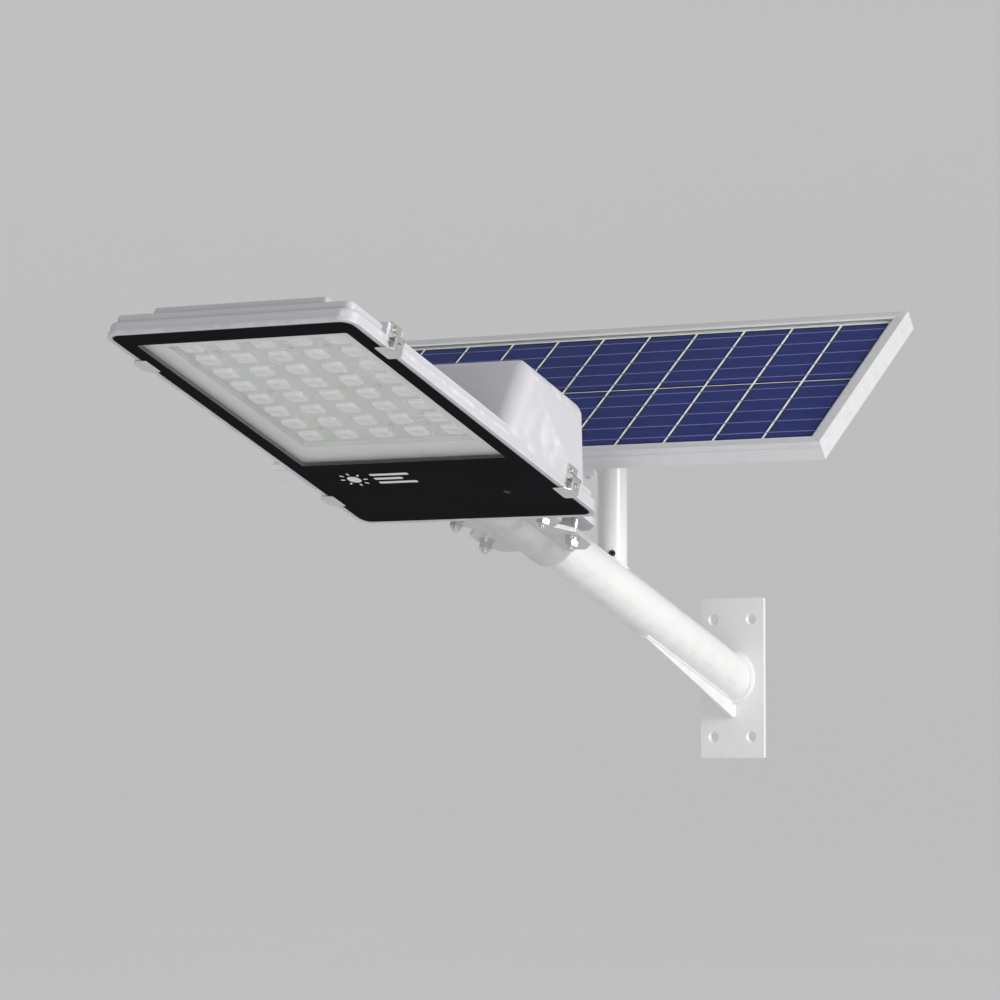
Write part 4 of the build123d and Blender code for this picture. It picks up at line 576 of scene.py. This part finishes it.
FINISHES = {
    "arm_powder_coat": surface(
        "arm_powder_coat", (0.83, 0.83, 0.83), 0.34, grain(700.0), 0.05 * MM,
        tone=0.01, wear=(0.35, (0.6, 0.59, 0.57)), dust=0.03, uneven=0.03,
        coat_weight=0.35, coat_roughness=0.12,
    ),
    "housing_grey": surface(
        "housing_grey", (0.56, 0.55, 0.585), 0.45, grain(1100.0, 7.0), 0.06 * MM,
        tone=0.015, wear=(0.5, (0.8, 0.8, 0.82)), dust=0.05, uneven=0.03,
        coat_weight=0.1, coat_roughness=0.3,
    ),
    "frame_aluminium": surface(
        "frame_aluminium", (0.82, 0.83, 0.85), 0.38, (BRUSHING, {"Fineness": 1.0}), 0.02 * MM,
        tone=0.05, wear=(0.4, (0.93, 0.93, 0.94)), dust=0.06, metallic=0.45,
    ),
    "raw_aluminium": surface(
        "raw_aluminium", (0.7, 0.71, 0.73), 0.36, (BRUSHING, {"Fineness": 0.7}), 0.03 * MM,
        tone=0.08, wear=(0.4, (0.9, 0.9, 0.92)), dust=0.08, metallic=0.9,
    ),
    "pressed_steel": surface(
        "pressed_steel", (0.66, 0.66, 0.67), 0.42, (BRUSHING, {"Fineness": 0.5}), 0.04 * MM,
        tone=0.1, wear=(0.6, (0.88, 0.88, 0.88)), dust=0.05, metallic=0.55,
    ),
    "galvanised_steel": surface(
        "galvanised_steel", (0.6, 0.62, 0.64), 0.38, (SPANGLE, {"Size": 170.0}), 0.03 * MM,
        tone=0.14, wear=(0.3, (0.75, 0.76, 0.77)), dust=0.08, metallic=0.85,
    ),
    "stainless_steel": surface(
        "stainless_steel", (0.72, 0.715, 0.7), 0.24, (BRUSHING, {"Fineness": 1.6}), 0.015 * MM,
        tone=0.07, wear=(0.5, (0.92, 0.92, 0.9)), metallic=0.95,
    ),
    "white_sheet": surface("white_sheet", (0.86, 0.87, 0.88), 0.45, grain(400.0), 0.02 * MM, tone=0.02),
    "white_plastic": surface(
        "white_plastic", (0.85, 0.86, 0.84), 0.4, grain(1300.0, 12.0), 0.02 * MM, tone=0.02,
    ),
    "black_plastic": surface(
        "black_plastic", (0.025, 0.025, 0.027), 0.45, grain(1500.0, 20.0), 0.05 * MM,
        tone=0.2, wear=(0.4, (0.12, 0.12, 0.12)), dust=0.1,
    ),
    "black_rubber": surface(
        "black_rubber", (0.022, 0.022, 0.022), 0.68, grain(1800.0, 30.0), 0.05 * MM,
        tone=0.25, wear=(0.3, (0.1, 0.1, 0.1)), dust=0.15,
    ),
    "grey_silicone": surface(
        "grey_silicone", (0.34, 0.34, 0.35), 0.55, grain(900.0, 25.0), 0.04 * MM, tone=0.08, dust=0.1,
    ),
    "led_yellow": surface("led_yellow", (0.78, 0.62, 0.16), 0.35, grain(2500.0, 90.0), 0.02 * MM, tone=0.08),
    "clear_lens": surface(
        "clear_lens", (0.88, 0.89, 0.87), 0.25, grain(500.0, 30.0), 0.02 * MM,
        tone=0.02, uneven=0.05, coat_weight=0.3, coat_roughness=0.1,
    ),
    "battery_wrap": surface(
        "battery_wrap", (0.03, 0.16, 0.38), 0.28, grain(160.0, 40.0), 0.08 * MM, tone=0.15, coat_weight=0.4,
    ),
    "circuit_part": surface(
        "circuit_part", (0.07, 0.07, 0.075), 0.42, grain(2200.0, 60.0), 0.03 * MM,
        tone=0.3, wear=(0.6, (0.3, 0.3, 0.3)),
    ),
    "sensor_dark": surface(
        "sensor_dark", (0.03, 0.008, 0.01), 0.3, grain(300.0, 40.0), 0.01 * MM, tone=0.2, ior=1.2,
    ),
    "white_board": board_material("white_board", (0.78, 0.8, 0.78), (0.66, 0.68, 0.64)),
    "circuit_green": board_material("circuit_green", (0.02, 0.16, 0.07), (0.08, 0.3, 0.14)),
    "solar_cell": cell_material(),
    "panel_glass": glass("panel_glass", (0.99, 1.0, 0.995), 1.12, 0.02),
    "cover_glass": glass("cover_glass", (0.995, 1.0, 0.998), 1.2, 0.01),
}
# near-black outline round each cell: painted shade along the gaps between cells
CELL_EDGE_PAINTED_SHADE = surface(
    "cell_edge_painted_shade", (0.004, 0.005, 0.016), 0.5, grain(900.0, 40.0), 0.01 * MM, tone=0.2, ior=1.1,
)
RIBBON = surface(
    "cell_ribbon_tinned", (0.15, 0.16, 0.36), 0.4, (BRUSHING, {"Fineness": 1.0}), 0.01 * MM,
    tone=0.1, ior=1.15,
)
BLACK_PRINT = surface(
    "glass_black_print", (0.008, 0.008, 0.0098), 0.2, grain(90.0, 12.0), 0.002 * MM,
    tone=0.15, uneven=0.03, ior=1.03,
)
GLASS_EDGE = surface("glass_ground_edge", (0.22, 0.25, 0.24), 0.3, grain(1500.0, 30.0), 0.02 * MM, tone=0.15)
WHITE_PRINT = surface("glass_white_print", (0.8, 0.8, 0.8), 0.5, grain(1600.0, 60.0), 0.005 * MM, tone=0.05)
# flat band of the lens plate between the lenses: the same plastic as the lenses, coloured darker as painted shade
# between the domes
LENS_BAND_PAINTED_SHADE = surface(
    "lens_plate_band_painted_shade", (0.7, 0.72, 0.69), 0.25, grain(600.0, 18.0), 0.02 * MM,
    tone=0.05, coat_weight=0.4, coat_roughness=0.08,
)


# ---- CAD nodes: finishes and softened edges ----
def smooth_faces():
    """A geometry node group that shades every face smooth, for the normals that follow."""
    tree = bpy.data.node_groups.new("smooth_faces", "GeometryNodeTree")
    tree.interface.new_socket(name="Geometry", in_out="INPUT", socket_type="NodeSocketGeometry")
    tree.interface.new_socket(name="Geometry", in_out="OUTPUT", socket_type="NodeSocketGeometry")
    start = tree.nodes.new("NodeGroupInput")
    end = tree.nodes.new("NodeGroupOutput")
    edges = tree.nodes.new("GeometryNodeSetShadeSmooth")
    edges.domain = "EDGE"
    faces = tree.nodes.new("GeometryNodeSetShadeSmooth")
    tree.links.new(start.outputs[0], edges.inputs[0])
    tree.links.new(edges.outputs[0], faces.inputs[0])
    tree.links.new(faces.outputs[0], end.inputs[0])
    return tree


SMOOTH = smooth_faces()
EDGE_WIDTHS = {  # millimetres
    "lamp_housing": 0.5, "wall_plate": 0.6, "arm_tube": 0.4, "gusset_rib": 0.6, "panel_post": 0.3,
    "clamp_plate": 0.6, "swivel_yoke": 0.6, "tilt_bracket": 0.6, "rail_left": 0.4, "rail_right": 0.4,
    "junction_box": 0.8, "junction_lid": 0.6, "post_grommet": 0.5, "latch_near_left": 0.22,
    "latch_near_right": 0.22, "latch_far_left": 0.22, "latch_far_right": 0.22, "latch_bases": 0.22,
    "latch_pins": 0.3, "clamp_washers": 0.25, "clamp_spring_washers": 0.25, "tilt_washers": 0.25,
}
DEFAULT_EDGE = 0.3
EDGE_SEGMENTS = 2
FLAT_ANGLE = radians(0.2)
FACE_WEIGHT = 80  # how far a large face decides the shading of its corners


def soften(node):
    """Joins a node's facets and rounds its outer edges with modifiers, leaving its mesh as it came."""
    item = NODES[node]
    weld = item.modifiers.new("weld", "WELD")
    weld.merge_threshold = SAME_CORNER
    flat = item.modifiers.new("flat", "DECIMATE")
    flat.decimate_type = "DISSOLVE"
    flat.angle_limit = FLAT_ANGLE
    bevel = item.modifiers.new("edges", "BEVEL")
    bevel.width = EDGE_WIDTHS.get(node, DEFAULT_EDGE) * MM
    bevel.segments = EDGE_SEGMENTS
    bevel.limit_method = "ANGLE"
    bevel.angle_limit = CORNER_ANGLE
    bevel.use_clamp_overlap = True
    smooth = item.modifiers.new("smooth", "NODES")
    smooth.node_group = SMOOTH
    normals = item.modifiers.new("normals", "WEIGHTED_NORMAL")
    normals.keep_sharp = False
    normals.weight = FACE_WEIGHT


def finish_nodes():
    """Gives every node the finish of its slot and softened edges."""
    for part in frame["record"]["subparts"]:
        item = NODES[part["node"]]
        item.data.materials.clear()
        item.data.materials.append(FINISHES[part["material_slot"]])
        item.data.polygons.foreach_set("material_index", [0] * len(item.data.polygons))
        soften(part["node"])


# ---- cover glass ----
def window_outline(spare=0.0):
    """The clear window's edge, moved out by a spare width."""
    length = WINDOW_FAR - WINDOW_NEAR + 2 * spare
    middle = (0, -(WINDOW_FAR + WINDOW_NEAR) / 2)
    return rounded_rect((WINDOW_HALF + spare) * 2, length, WINDOW_CORNER + spare, middle)


def cover_pane():
    """Toughened pane: a clear window inside a black border, with ground edges."""
    low, high = local_box("cover_glass", LAMP)
    width, length, thick = high - low
    middle = (0, -length / 2)
    mesh = bmesh.new()
    clear, black, edge = 0, 1, 2

    def outline(inset):
        return rounded_rect(width - 2 * inset, length - 2 * inset, GLASS_CORNER - inset, middle)

    front = loop(mesh, outline(EDGE_CHAMFER), 0)
    front_side = loop(mesh, outline(0), EDGE_CHAMFER)
    back_side = loop(mesh, outline(0), thick - EDGE_CHAMFER)
    back = loop(mesh, outline(EDGE_CHAMFER), thick)
    front_window = loop(mesh, window_outline(), 0)
    back_window = loop(mesh, window_outline(WINDOW_SPARE), thick)
    bridge(mesh, front, front_side, edge)
    bridge(mesh, front_side, back_side, edge)
    bridge(mesh, back_side, back, edge)
    bridge(mesh, front, front_window, black)
    bridge(mesh, back, back_window, black)
    cap(mesh, front_window, clear, flip=True)
    cap(mesh, back_window, clear)
    materials = [FINISHES["cover_glass"], BLACK_PRINT, GLASS_EDGE]
    add_piece("cover_pane", mesh, LAMP, materials, "lamp_head", ("cover_glass",))


def printed_shape(mesh, outline):
    """A thin print on the glass's outer face."""
    face = loop(mesh, outline, -PRINT_RISE)
    foot = loop(mesh, outline, 0)
    bridge(mesh, face, foot)
    cap(mesh, face, flip=True)


def turned(points, angle, middle):
    """Points turned about zero, then moved to a middle."""
    c, s = cos(angle), sin(angle)
    return [(middle[0] + x * c - y * s, middle[1] + x * s + y * c) for x, y in points]


def glass_mark():
    """A plain pictogram: a sun beside three level bars."""
    mesh = bmesh.new()
    x, out = MARK_PLACE
    sun = (x + SUN_OFFSET, -out)
    ray = rounded_rect(SUN_RAY[0], SUN_RAY[1], SUN_RAY_CORNER, (SUN_RAY_PLACE, 0), steps=3)
    for angle in around(SUN_RAYS):
        printed_shape(mesh, turned(ray, angle, sun))
    printed_shape(mesh, rounded_rect(SUN_DISC, SUN_DISC, SUN_DISC_CORNER, sun, steps=8))
    for row, length in enumerate(BAR_LENGTHS, start=-1):
        middle = (x + BARS_START + length / 2 * MM, -out + row * BAR_PITCH)
        printed_shape(mesh, rounded_rect(length * MM, BAR_WIDTH, BAR_CORNER, middle, steps=5))
    add_piece("glass_mark", mesh, LAMP, [WHITE_PRINT], "lamp_head")


def sensor_window():
    """The remote sensor's round spot in the black border."""
    low, high = local_box("remote_sensor", LAMP)
    middle = (low + high) / 2
    radius = (high.x - low.x) / 2 + SENSOR_RIM
    place = LAMP @ Matrix.Translation((middle.x, middle.y, 0))
    mesh = bmesh.new()
    shoulder = (radius * SENSOR_SHOULDER[0], -SENSOR_RISE * SENSOR_SHOULDER[1])
    profile = [(0, -SENSOR_RISE), shoulder, (radius, 0), (0, 0)]
    lathe(mesh, profile, AS_IT_LIES)
    add_piece("sensor_window", mesh, place, [FINISHES["sensor_dark"]], "lamp_head")


# ---- lenses ----
def lens_array():
    """Moulded lens plate: one domed lens with a dimple over each diode, and a flat band between them coloured
    darker as painted shade.
    """
    low, high = local_box("lens_plate", LAMP)
    into = LAMP.inverted()
    back = local_box("led_board", LAMP)[0].z
    chips = [spread([into @ p for p in points]) for points in solids("led_chips")]
    face = low.z + LENS_RISE
    mesh = bmesh.new()
    middle = ((low.x + high.x) / 2, (low.y + high.y) / 2)
    size = (high.x - low.x, high.y - low.y)
    rings = []
    for inset, z in ((0, back), (0, face + LENS_PLATE_RIM), (LENS_PLATE_RIM, face)):
        outline = rounded_rect(size[0] - 2 * inset, size[1] - 2 * inset, LENS_PLATE_CORNER, middle, steps=4)
        rings.append(loop(mesh, outline, z))
    for lower, upper in zip(rings, rings[1:]):
        bridge(mesh, lower, upper)
    cap(mesh, rings[-1])
    cap(mesh, rings[0], flip=True)
    for first, last in chips:
        centre = ((first.x + last.x) / 2, (first.y + last.y) / 2)
        steps = []
        for share, height in LENS_STEPS:
            outline = rounded_rect(
                LENS_SIZE[0] * share, LENS_SIZE[1] * share, LENS_CORNER * share, centre, steps=5
            )
            steps.append(loop(mesh, outline, face - height * LENS_RISE))
        for lower, upper in zip(steps, steps[1:]):
            bridge(mesh, lower, upper, 1)
        cap(mesh, steps[-1], 1)
    materials = [LENS_BAND_PAINTED_SHADE, FINISHES["clear_lens"]]
    add_piece("lens_array", mesh, LAMP, materials, "lamp_head", ("lens_plate",))


# ---- solar panel ----
def cell_sheet(cells):
    """Blue cells, each with a dark outline that is painted shade along the gaps between cells."""
    mesh = bmesh.new()
    for low, high in cells:
        middle = (low + high) / 2
        half = (high - low) / 2
        foot = loop(mesh, rectangle(middle, half), low.z)
        rim = loop(mesh, rectangle(middle, half), high.z)
        inner = loop(mesh, rectangle(middle, half, CELL_OUTLINE), high.z)
        cap(mesh, foot, 1, flip=True)
        bridge(mesh, foot, rim, 1)
        bridge(mesh, rim, inner, 1)
        cap(mesh, inner, 0)
    materials = [FINISHES["solar_cell"], CELL_EDGE_PAINTED_SHADE]
    add_piece("cell_sheet", mesh, PANEL, materials, "panel", ("solar_cells",))


def cell_ribbons(cells, field_low, field_high):
    """Tinned ribbons that join the cells of each row."""
    mesh = bmesh.new()
    rows = sorted({(round(low.y, 5), round(high.y, 5)) for low, high in cells})
    for row_low, row_high in rows:
        for index in range(RIBBONS_PER_ROW):
            y = row_low + (index + 0.5) / RIBBONS_PER_ROW * (row_high - row_low)
            start = (field_low.x - RIBBON_SPARE, y - RIBBON_WIDTH / 2, field_high.z)
            end = (field_high.x + RIBBON_SPARE, y + RIBBON_WIDTH / 2, field_high.z + RIBBON_THICK)
            bar(mesh, start, end)
    add_piece("cell_ribbons", mesh, PANEL, [RIBBON], "panel")


def front_glass(field_high):
    """The panel's glass, just clear of the ribbons."""
    low, high = local_box("panel_glass", PANEL)
    mesh = bmesh.new()
    bar(mesh, (low.x, low.y, field_high.z + LAYER_GAP), (high.x, high.y, high.z), PANE_CHAMFER)
    add_piece("front_glass", mesh, PANEL, [FINISHES["panel_glass"]], "panel", ("panel_glass",))


def frame_seal_painted_light():
    """A white bead with a thin grey edge, between the frame's lip and the glass: painted light laid over the shade
    seen under the lip.
    """
    high = local_box("panel_glass", PANEL)[1]
    outer = local_box("frame_bottom", PANEL)
    outer_top = local_box("frame_top", PANEL)
    x0, x1 = outer[0].x + FRAME_LIP, outer[1].x - FRAME_LIP
    y0, y1 = outer[0].y + FRAME_LIP, outer_top[1].y - FRAME_LIP
    mesh = bmesh.new()
    loops = []
    edge = SEAL_WIDTH - SEAL_LINE
    steps = (
        (-SEAL_LINE, 0), (-SEAL_LINE, SEAL_RISE), (edge / 2, SEAL_RISE), (edge, SEAL_RISE * SEAL_FALL),
        (SEAL_WIDTH, 0),
    )
    corners = ((x0, y0, 1, 1), (x1, y0, -1, 1), (x1, y1, -1, -1), (x0, y1, 1, -1))
    for inset, rise in steps:
        outline = [(x + sx * inset, y + sy * inset) for x, y, sx, sy in corners]
        loops.append(loop(mesh, outline, high.z + rise))
    for lower, upper in zip(loops[:-1], loops[1:-1]):
        bridge(mesh, lower, upper)
    bridge(mesh, loops[-2], loops[-1], 1)
    bridge(mesh, loops[-1], loops[0])
    materials = [FINISHES["white_sheet"], FINISHES["grey_silicone"]]
    add_piece("frame_seal_painted_light", mesh, PANEL, materials, "panel")


def panel_layers():
    """Every layer behind and round the panel's glass."""
    into = PANEL.inverted()
    cells = [spread([into @ p for p in points]) for points in solids("solar_cells")]
    field_low, field_high = local_box("solar_cells", PANEL)
    cell_sheet(cells)
    cell_ribbons(cells, field_low, field_high)
    front_glass(field_high)
    frame_seal_painted_light()


def rail_plugs():
    """Pale end caps pushed onto the open ends of both rails."""
    mesh = bmesh.new()
    for node in ("rail_left", "rail_right"):
        low, high = local_box(node, PANEL)
        middle = ((low.x + high.x) / 2, (low.z + high.z) / 2)
        width, height = high.x - low.x, high.z - low.z
        for end, way in ((low.y, -1), (high.y, 1)):
            rings = []
            for inset, out in PLUG_STEPS:
                outline = rounded_rect(width - 2 * inset, height - 2 * inset, PLUG_CORNER, middle, steps=4)
                y = end + way * (out + PLUG_GAP)
                rings.append([mesh.verts.new((x, y, z)) for x, z in outline])
            for lower, upper in zip(rings, rings[1:]):
                bridge(mesh, lower, upper)
            cap(mesh, rings[0], flip=True)
            cap(mesh, rings[-1])
    add_piece("rail_end_plugs", mesh, PANEL, [FINISHES["white_plastic"]], "panel")


# ---- welds ----
def weld_bead(mesh, path, radius, closed, over_way):
    """A rippled bead along points, with its cross-sections turned towards one direction."""
    rings = []
    count = len(path)
    travelled = 0.0
    for i, point in enumerate(path):
        before = path[i - 1] if (i or closed) else point
        after = path[(i + 1) % count] if (i < count - 1 or closed) else point
        way = (after - before).normalized()
        side = way.cross(over_way).normalized()
        over = side.cross(way)
        if i:
            travelled += (point - path[i - 1]).length
        size = radius * (1 + WELD_RIPPLE * sin(travelled / WELD_PITCH * 2 * pi))
        offsets = [(side * cos(a) + over * sin(a)) * size for a in around(WELD_SIDES)]
        rings.append([mesh.verts.new(point + offset) for offset in offsets])
    for lower, upper in zip(rings, rings[1:]):
        bridge(mesh, lower, upper)
    if closed:
        bridge(mesh, rings[-1], rings[0])
    else:
        cap(mesh, rings[0], flip=True)
        cap(mesh, rings[-1])


def add_weld(name, mesh):
    """Finishes a painted bead that belongs to the wall arm."""
    add_piece(name, mesh, AS_IT_LIES, [FINISHES["arm_powder_coat"]], "wall_arm")


def plate_weld(radius, rise):
    """The bead round the arm where it meets the plate."""
    mesh = bmesh.new()
    ring = []
    for angle in around(WELD_RING_STEPS):
        spot = Vector((radius * cos(angle), 0, radius * sin(angle) / cos(rise)))
        ring.append(Vector((0, plate_front, ARM.translation.z)) + spot)
    weld_bead(mesh, ring, WELD_RADIUS, True, ACROSS_Y)
    add_weld("plate_weld", mesh)


def post_weld(radius):
    """The saddle-shaped bead where the post stands on the arm."""
    post_low, post_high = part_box("panel_post")
    post_radius = (post_high.x - post_low.x) / 2
    post_y = (post_high.y + post_low.y) / 2
    mesh = bmesh.new()
    ring = []
    for angle in around(WELD_RING_STEPS):
        x = post_radius * cos(angle)
        y = post_y + post_radius * sin(angle)
        height = sqrt(radius * radius - x * x)
        reach = (y - ARM.translation.y - height * arm_up.y) / -arm_way.y
        ring.append(ARM @ Vector((x, reach, height)))
    weld_bead(mesh, ring, POST_WELD_RADIUS, True, UP)
    add_weld("post_weld", mesh)


def rib_welds(radius, rise):
    """Beads on both sides of the rib, along the arm and down the plate."""
    rib_low, rib_high = local_box("gusset_rib", ARM)
    rib_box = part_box("gusset_rib")
    mesh = bmesh.new()
    for side in (-1, 1):
        x = side * rib_high.x
        count = ceil((rib_high.y - rib_low.y) / WELD_PITCH * WELD_ROWS)
        near = -radius * abs(arm_way.z)
        far = rib_low.y
        height = -sqrt(radius * radius - x * x)
        line = [ARM @ Vector((x, far + (near - far) * i / count, height)) for i in range(count + 1)]
        weld_bead(mesh, line, THIN_WELD_RADIUS, False, arm_up)
        under = ARM.translation.z - radius / cos(rise)
        foot = rib_box[0].z + WALL_WELD_FOOT
        levels = [foot + (under - foot) * i / WALL_WELD_STEPS for i in range(WALL_WELD_STEPS + 1)]
        weld_bead(mesh, [Vector((x, plate_front, z)) for z in levels], THIN_WELD_RADIUS, False, X_WAY)
    add_weld("rib_welds", mesh)


def welds():
    """Beads at the arm's joints with the plate, the post and the rib."""
    arm_low, arm_high = local_box("arm_tube", ARM)
    radius = (arm_high.x - arm_low.x) / 2
    rise = atan2(arm_way.z, -arm_way.y)
    plate_weld(radius, rise)
    post_weld(radius)
    rib_welds(radius, rise)


# ---- hexagon fasteners ----
def fastener_sizes(points, way):
    """Axis, hexagon and shank of a bolt or nut, read from its corners along a direction."""
    way = Vector(way).normalized()
    across = aimed((0, 0, 0), way, X_WAY if abs(way.x) < MOSTLY else UP)
    flat = [across.inverted() @ p for p in points]
    low, high = spread(flat)
    centre = (low + high) / 2
    radii = [((p.x - centre.x) ** 2 + (p.y - centre.y) ** 2) ** 0.5 for p in flat]
    corner_radius = max(radii)
    hexes = [p for p, r in zip(flat, radii) if r > corner_radius * HEX_SHARE]
    rest = [r for r in radii if r < corner_radius * SHANK_SHARE]
    tip = hexes[0] - centre
    return {
        "axis": across @ Vector((centre.x, centre.y, 0)),
        "corner_way": across @ Vector((tip.x, tip.y, 0)),
        "corner": corner_radius,
        "hex": (min(p.z for p in hexes), max(p.z for p in hexes)),
        "ends": (low.z, high.z),
        "inner": max(rest) if rest else 0.0,
    }


def hexagon(mesh, place, corner, height, bore):
    """A hexagonal block with both faces chamfered to a circle, bored or solid."""
    flats = corner * sqrt(3) / 2
    circle = flats * HEAD_CIRCLE
    loops = [[] for _ in range(4)]
    for angle in around(ROUND_STEPS):
        hex_radius = flats / cos(angle % (pi / 3) - pi / 6)
        drop = (hex_radius - circle) * tan(HEAD_CHAMFER)
        way = Vector((cos(angle), sin(angle), 0))
        levels = ((circle, 0), (hex_radius, drop), (hex_radius, height - drop), (circle, height))
        for verts, (radius, z) in zip(loops, levels):
            verts.append(mesh.verts.new(place @ (way * radius + UP * z)))
    for lower, upper in zip(loops, loops[1:]):
        bridge(mesh, lower, upper)
    if not bore:
        cap(mesh, loops[0], flip=True)
        cap(mesh, loops[-1])
        return
    sink = bore * BORE_SINK
    rings = lathe(mesh, [(bore + sink, 0), (bore, sink), (bore, height - sink), (bore + sink, height)], place)
    bridge(mesh, loops[0], rings[0])
    bridge(mesh, loops[-1], rings[-1])


def threaded_shank(mesh, place, radius, length):
    """A round shank whose end is cut with a helical thread and a lead-in."""
    pitch = radius * 2 * PITCH_SHARE
    depth = pitch * THREAD_DEPTH
    plain = max(length - radius * 2 * THREAD_SHARE, 0)
    rows = [(0.0, False)] + ([(plain, False)] if plain else [])
    cut_length = length - plain - pitch / 2
    count = ceil(cut_length / pitch * THREAD_ROWS)
    rows += [(plain + cut_length * i / count, True) for i in range(1, count + 1)]
    rings = []
    for z, cut in rows:
        ring = []
        for angle in around(THREAD_SIDES):
            phase = (z / pitch - angle / (2 * pi)) % 1.0
            size = radius - (depth * abs(2 * phase - 1) if cut else 0)
            ring.append(mesh.verts.new(place @ Vector((size * cos(angle), size * sin(angle), z))))
        rings.append(ring)
    rings.append(circle_loop(mesh, place, (radius - depth) * THREAD_TIP, length, THREAD_SIDES))
    for lower, upper in zip(rings, rings[1:]):
        bridge(mesh, lower, upper)
    cap(mesh, rings[0], flip=True)
    cap(mesh, rings[-1])


def fasteners(name, node, body, way, kind):
    """Replaces a node of bolts or nuts, which lie along a direction, with chamfered and threaded ones."""
    mesh = bmesh.new()
    for points in solids(node):
        sizes = fastener_sizes(points, way)
        start, end = sizes["hex"]
        height = end - start
        if kind == "bolt":
            backwards = sizes["ends"][1] - end < start - sizes["ends"][0]
            run = -way if backwards else way
            seat = start if backwards else end
            length = (seat - sizes["ends"][0]) if backwards else (sizes["ends"][1] - seat)
            place = aimed(sizes["axis"] + way * seat, run, sizes["corner_way"])
            head = place @ Matrix.Translation((0, 0, -height))
            hexagon(mesh, head, sizes["corner"], height, 0)
            threaded_shank(mesh, place, sizes["inner"], length)
            continue
        place = aimed(sizes["axis"] + way * start, way, sizes["corner_way"])
        hexagon(mesh, place, sizes["corner"], height, sizes["inner"])
    add_piece(name, mesh, AS_IT_LIES, [FINISHES["stainless_steel"]], body, (node,))


def all_fasteners():
    fasteners("clamp_bolts_threaded", "clamp_bolts", "lamp_head", arm_up, "bolt")
    fasteners("clamp_nuts_chamfered", "clamp_nuts", "lamp_head", arm_up, "nut")
    fasteners("tilt_bolt_threaded", "tilt_bolt", "swivel_head", X_WAY, "bolt")
    fasteners("tilt_nut_chamfered", "tilt_nut", "swivel_head", X_WAY, "nut")
    fasteners("rail_bolts_threaded", "rail_bolts", "panel", PANEL_NORMAL, "bolt")
    fasteners("bracket_bolts_threaded", "bracket_bolts", "panel", PANEL_NORMAL, "bolt")
    fasteners("panel_nuts_chamfered", "panel_nuts", "panel", PANEL_NORMAL, "nut")


# ---- room ----
def room():
    """A pale floor that bends up all round into a softly glowing backdrop."""
    material = surface(
        "pale_floor", (0.36, 0.36, 0.362), 0.8, grain(40.0, 0.6), 0.2 * MM, tone=0.01,
        emission_color=(1.0, 1.0, 1.0, 1.0), emission_strength=ROOM_GLOW,
    )
    flat_end = ROOM_RADIUS - BACKDROP_BEND
    profile = [(0, 0), (flat_end / 3, 0), (flat_end, 0)]
    for step in range(1, BEND_STEPS + 1):
        angle = step / BEND_STEPS * pi / 2
        profile.append((flat_end + BACKDROP_BEND * sin(angle), BACKDROP_BEND * (1 - cos(angle))))
    profile.append((ROOM_RADIUS, BACKDROP_TOP))
    middle = (cad_box[0] + cad_box[1]) / 2
    place = Matrix.Translation((middle.x, middle.y, FLOOR_HEIGHT))
    mesh = bmesh.new()
    lathe(mesh, profile, place, steps=ROOM_STEPS)
    bmesh.ops.recalc_face_normals(mesh, faces=mesh.faces)
    bmesh.ops.reverse_faces(mesh, faces=mesh.faces)
    data = bpy.data.meshes.new("studio_floor")
    mesh.to_mesh(data)
    mesh.free()
    data.materials.append(material)
    data.polygons.foreach_set("use_smooth", [True] * len(data.polygons))
    floor = bpy.data.objects.new("studio_floor", data)
    bpy.context.scene.collection.objects.link(floor)


def area_light(name, at, towards, size, power, colour):
    """A round soft light that faces a point."""
    data = bpy.data.lights.new(name, "AREA")
    data.shape = "DISK"
    data.size = size
    data.energy = power
    data.color = colour
    light = bpy.data.objects.new(name, data)
    light.location = at
    light.rotation_euler = (Vector(towards) - Vector(at)).to_track_quat("-Z", "Y").to_euler()
    bpy.context.scene.collection.objects.link(light)


def lights():
    middle = (cad_box[0] + cad_box[1]) / 2
    for name, place, size, power, colour in LIGHTS:
        area_light(name, middle + Vector(place), middle, size, power, colour)
    world = bpy.data.worlds.new("studio_air")
    bpy.context.scene.world = world
    world.use_nodes = True
    background = world.node_tree.nodes["Background"]
    background.inputs["Color"].default_value = AIR_COLOUR
    background.inputs["Strength"].default_value = AIR_GLOW


def camera():
    data = bpy.data.cameras.new("camera")
    data.lens = CAMERA_LENS
    data.clip_end = CAMERA_REACH
    view = bpy.data.objects.new("camera", data)
    view.location = CAMERA_AT
    view.rotation_euler = (radians(90 + CAMERA_PITCH), 0, radians(CAMERA_AZIMUTH))
    bpy.context.scene.collection.objects.link(view)
    bpy.context.scene.camera = view


finish_nodes()
cover_pane()
glass_mark()
sensor_window()
lens_array()
panel_layers()
rail_plugs()
welds()
all_fasteners()
room()
lights()
camera()
bpy.context.scene.view_settings.view_transform = "Standard"
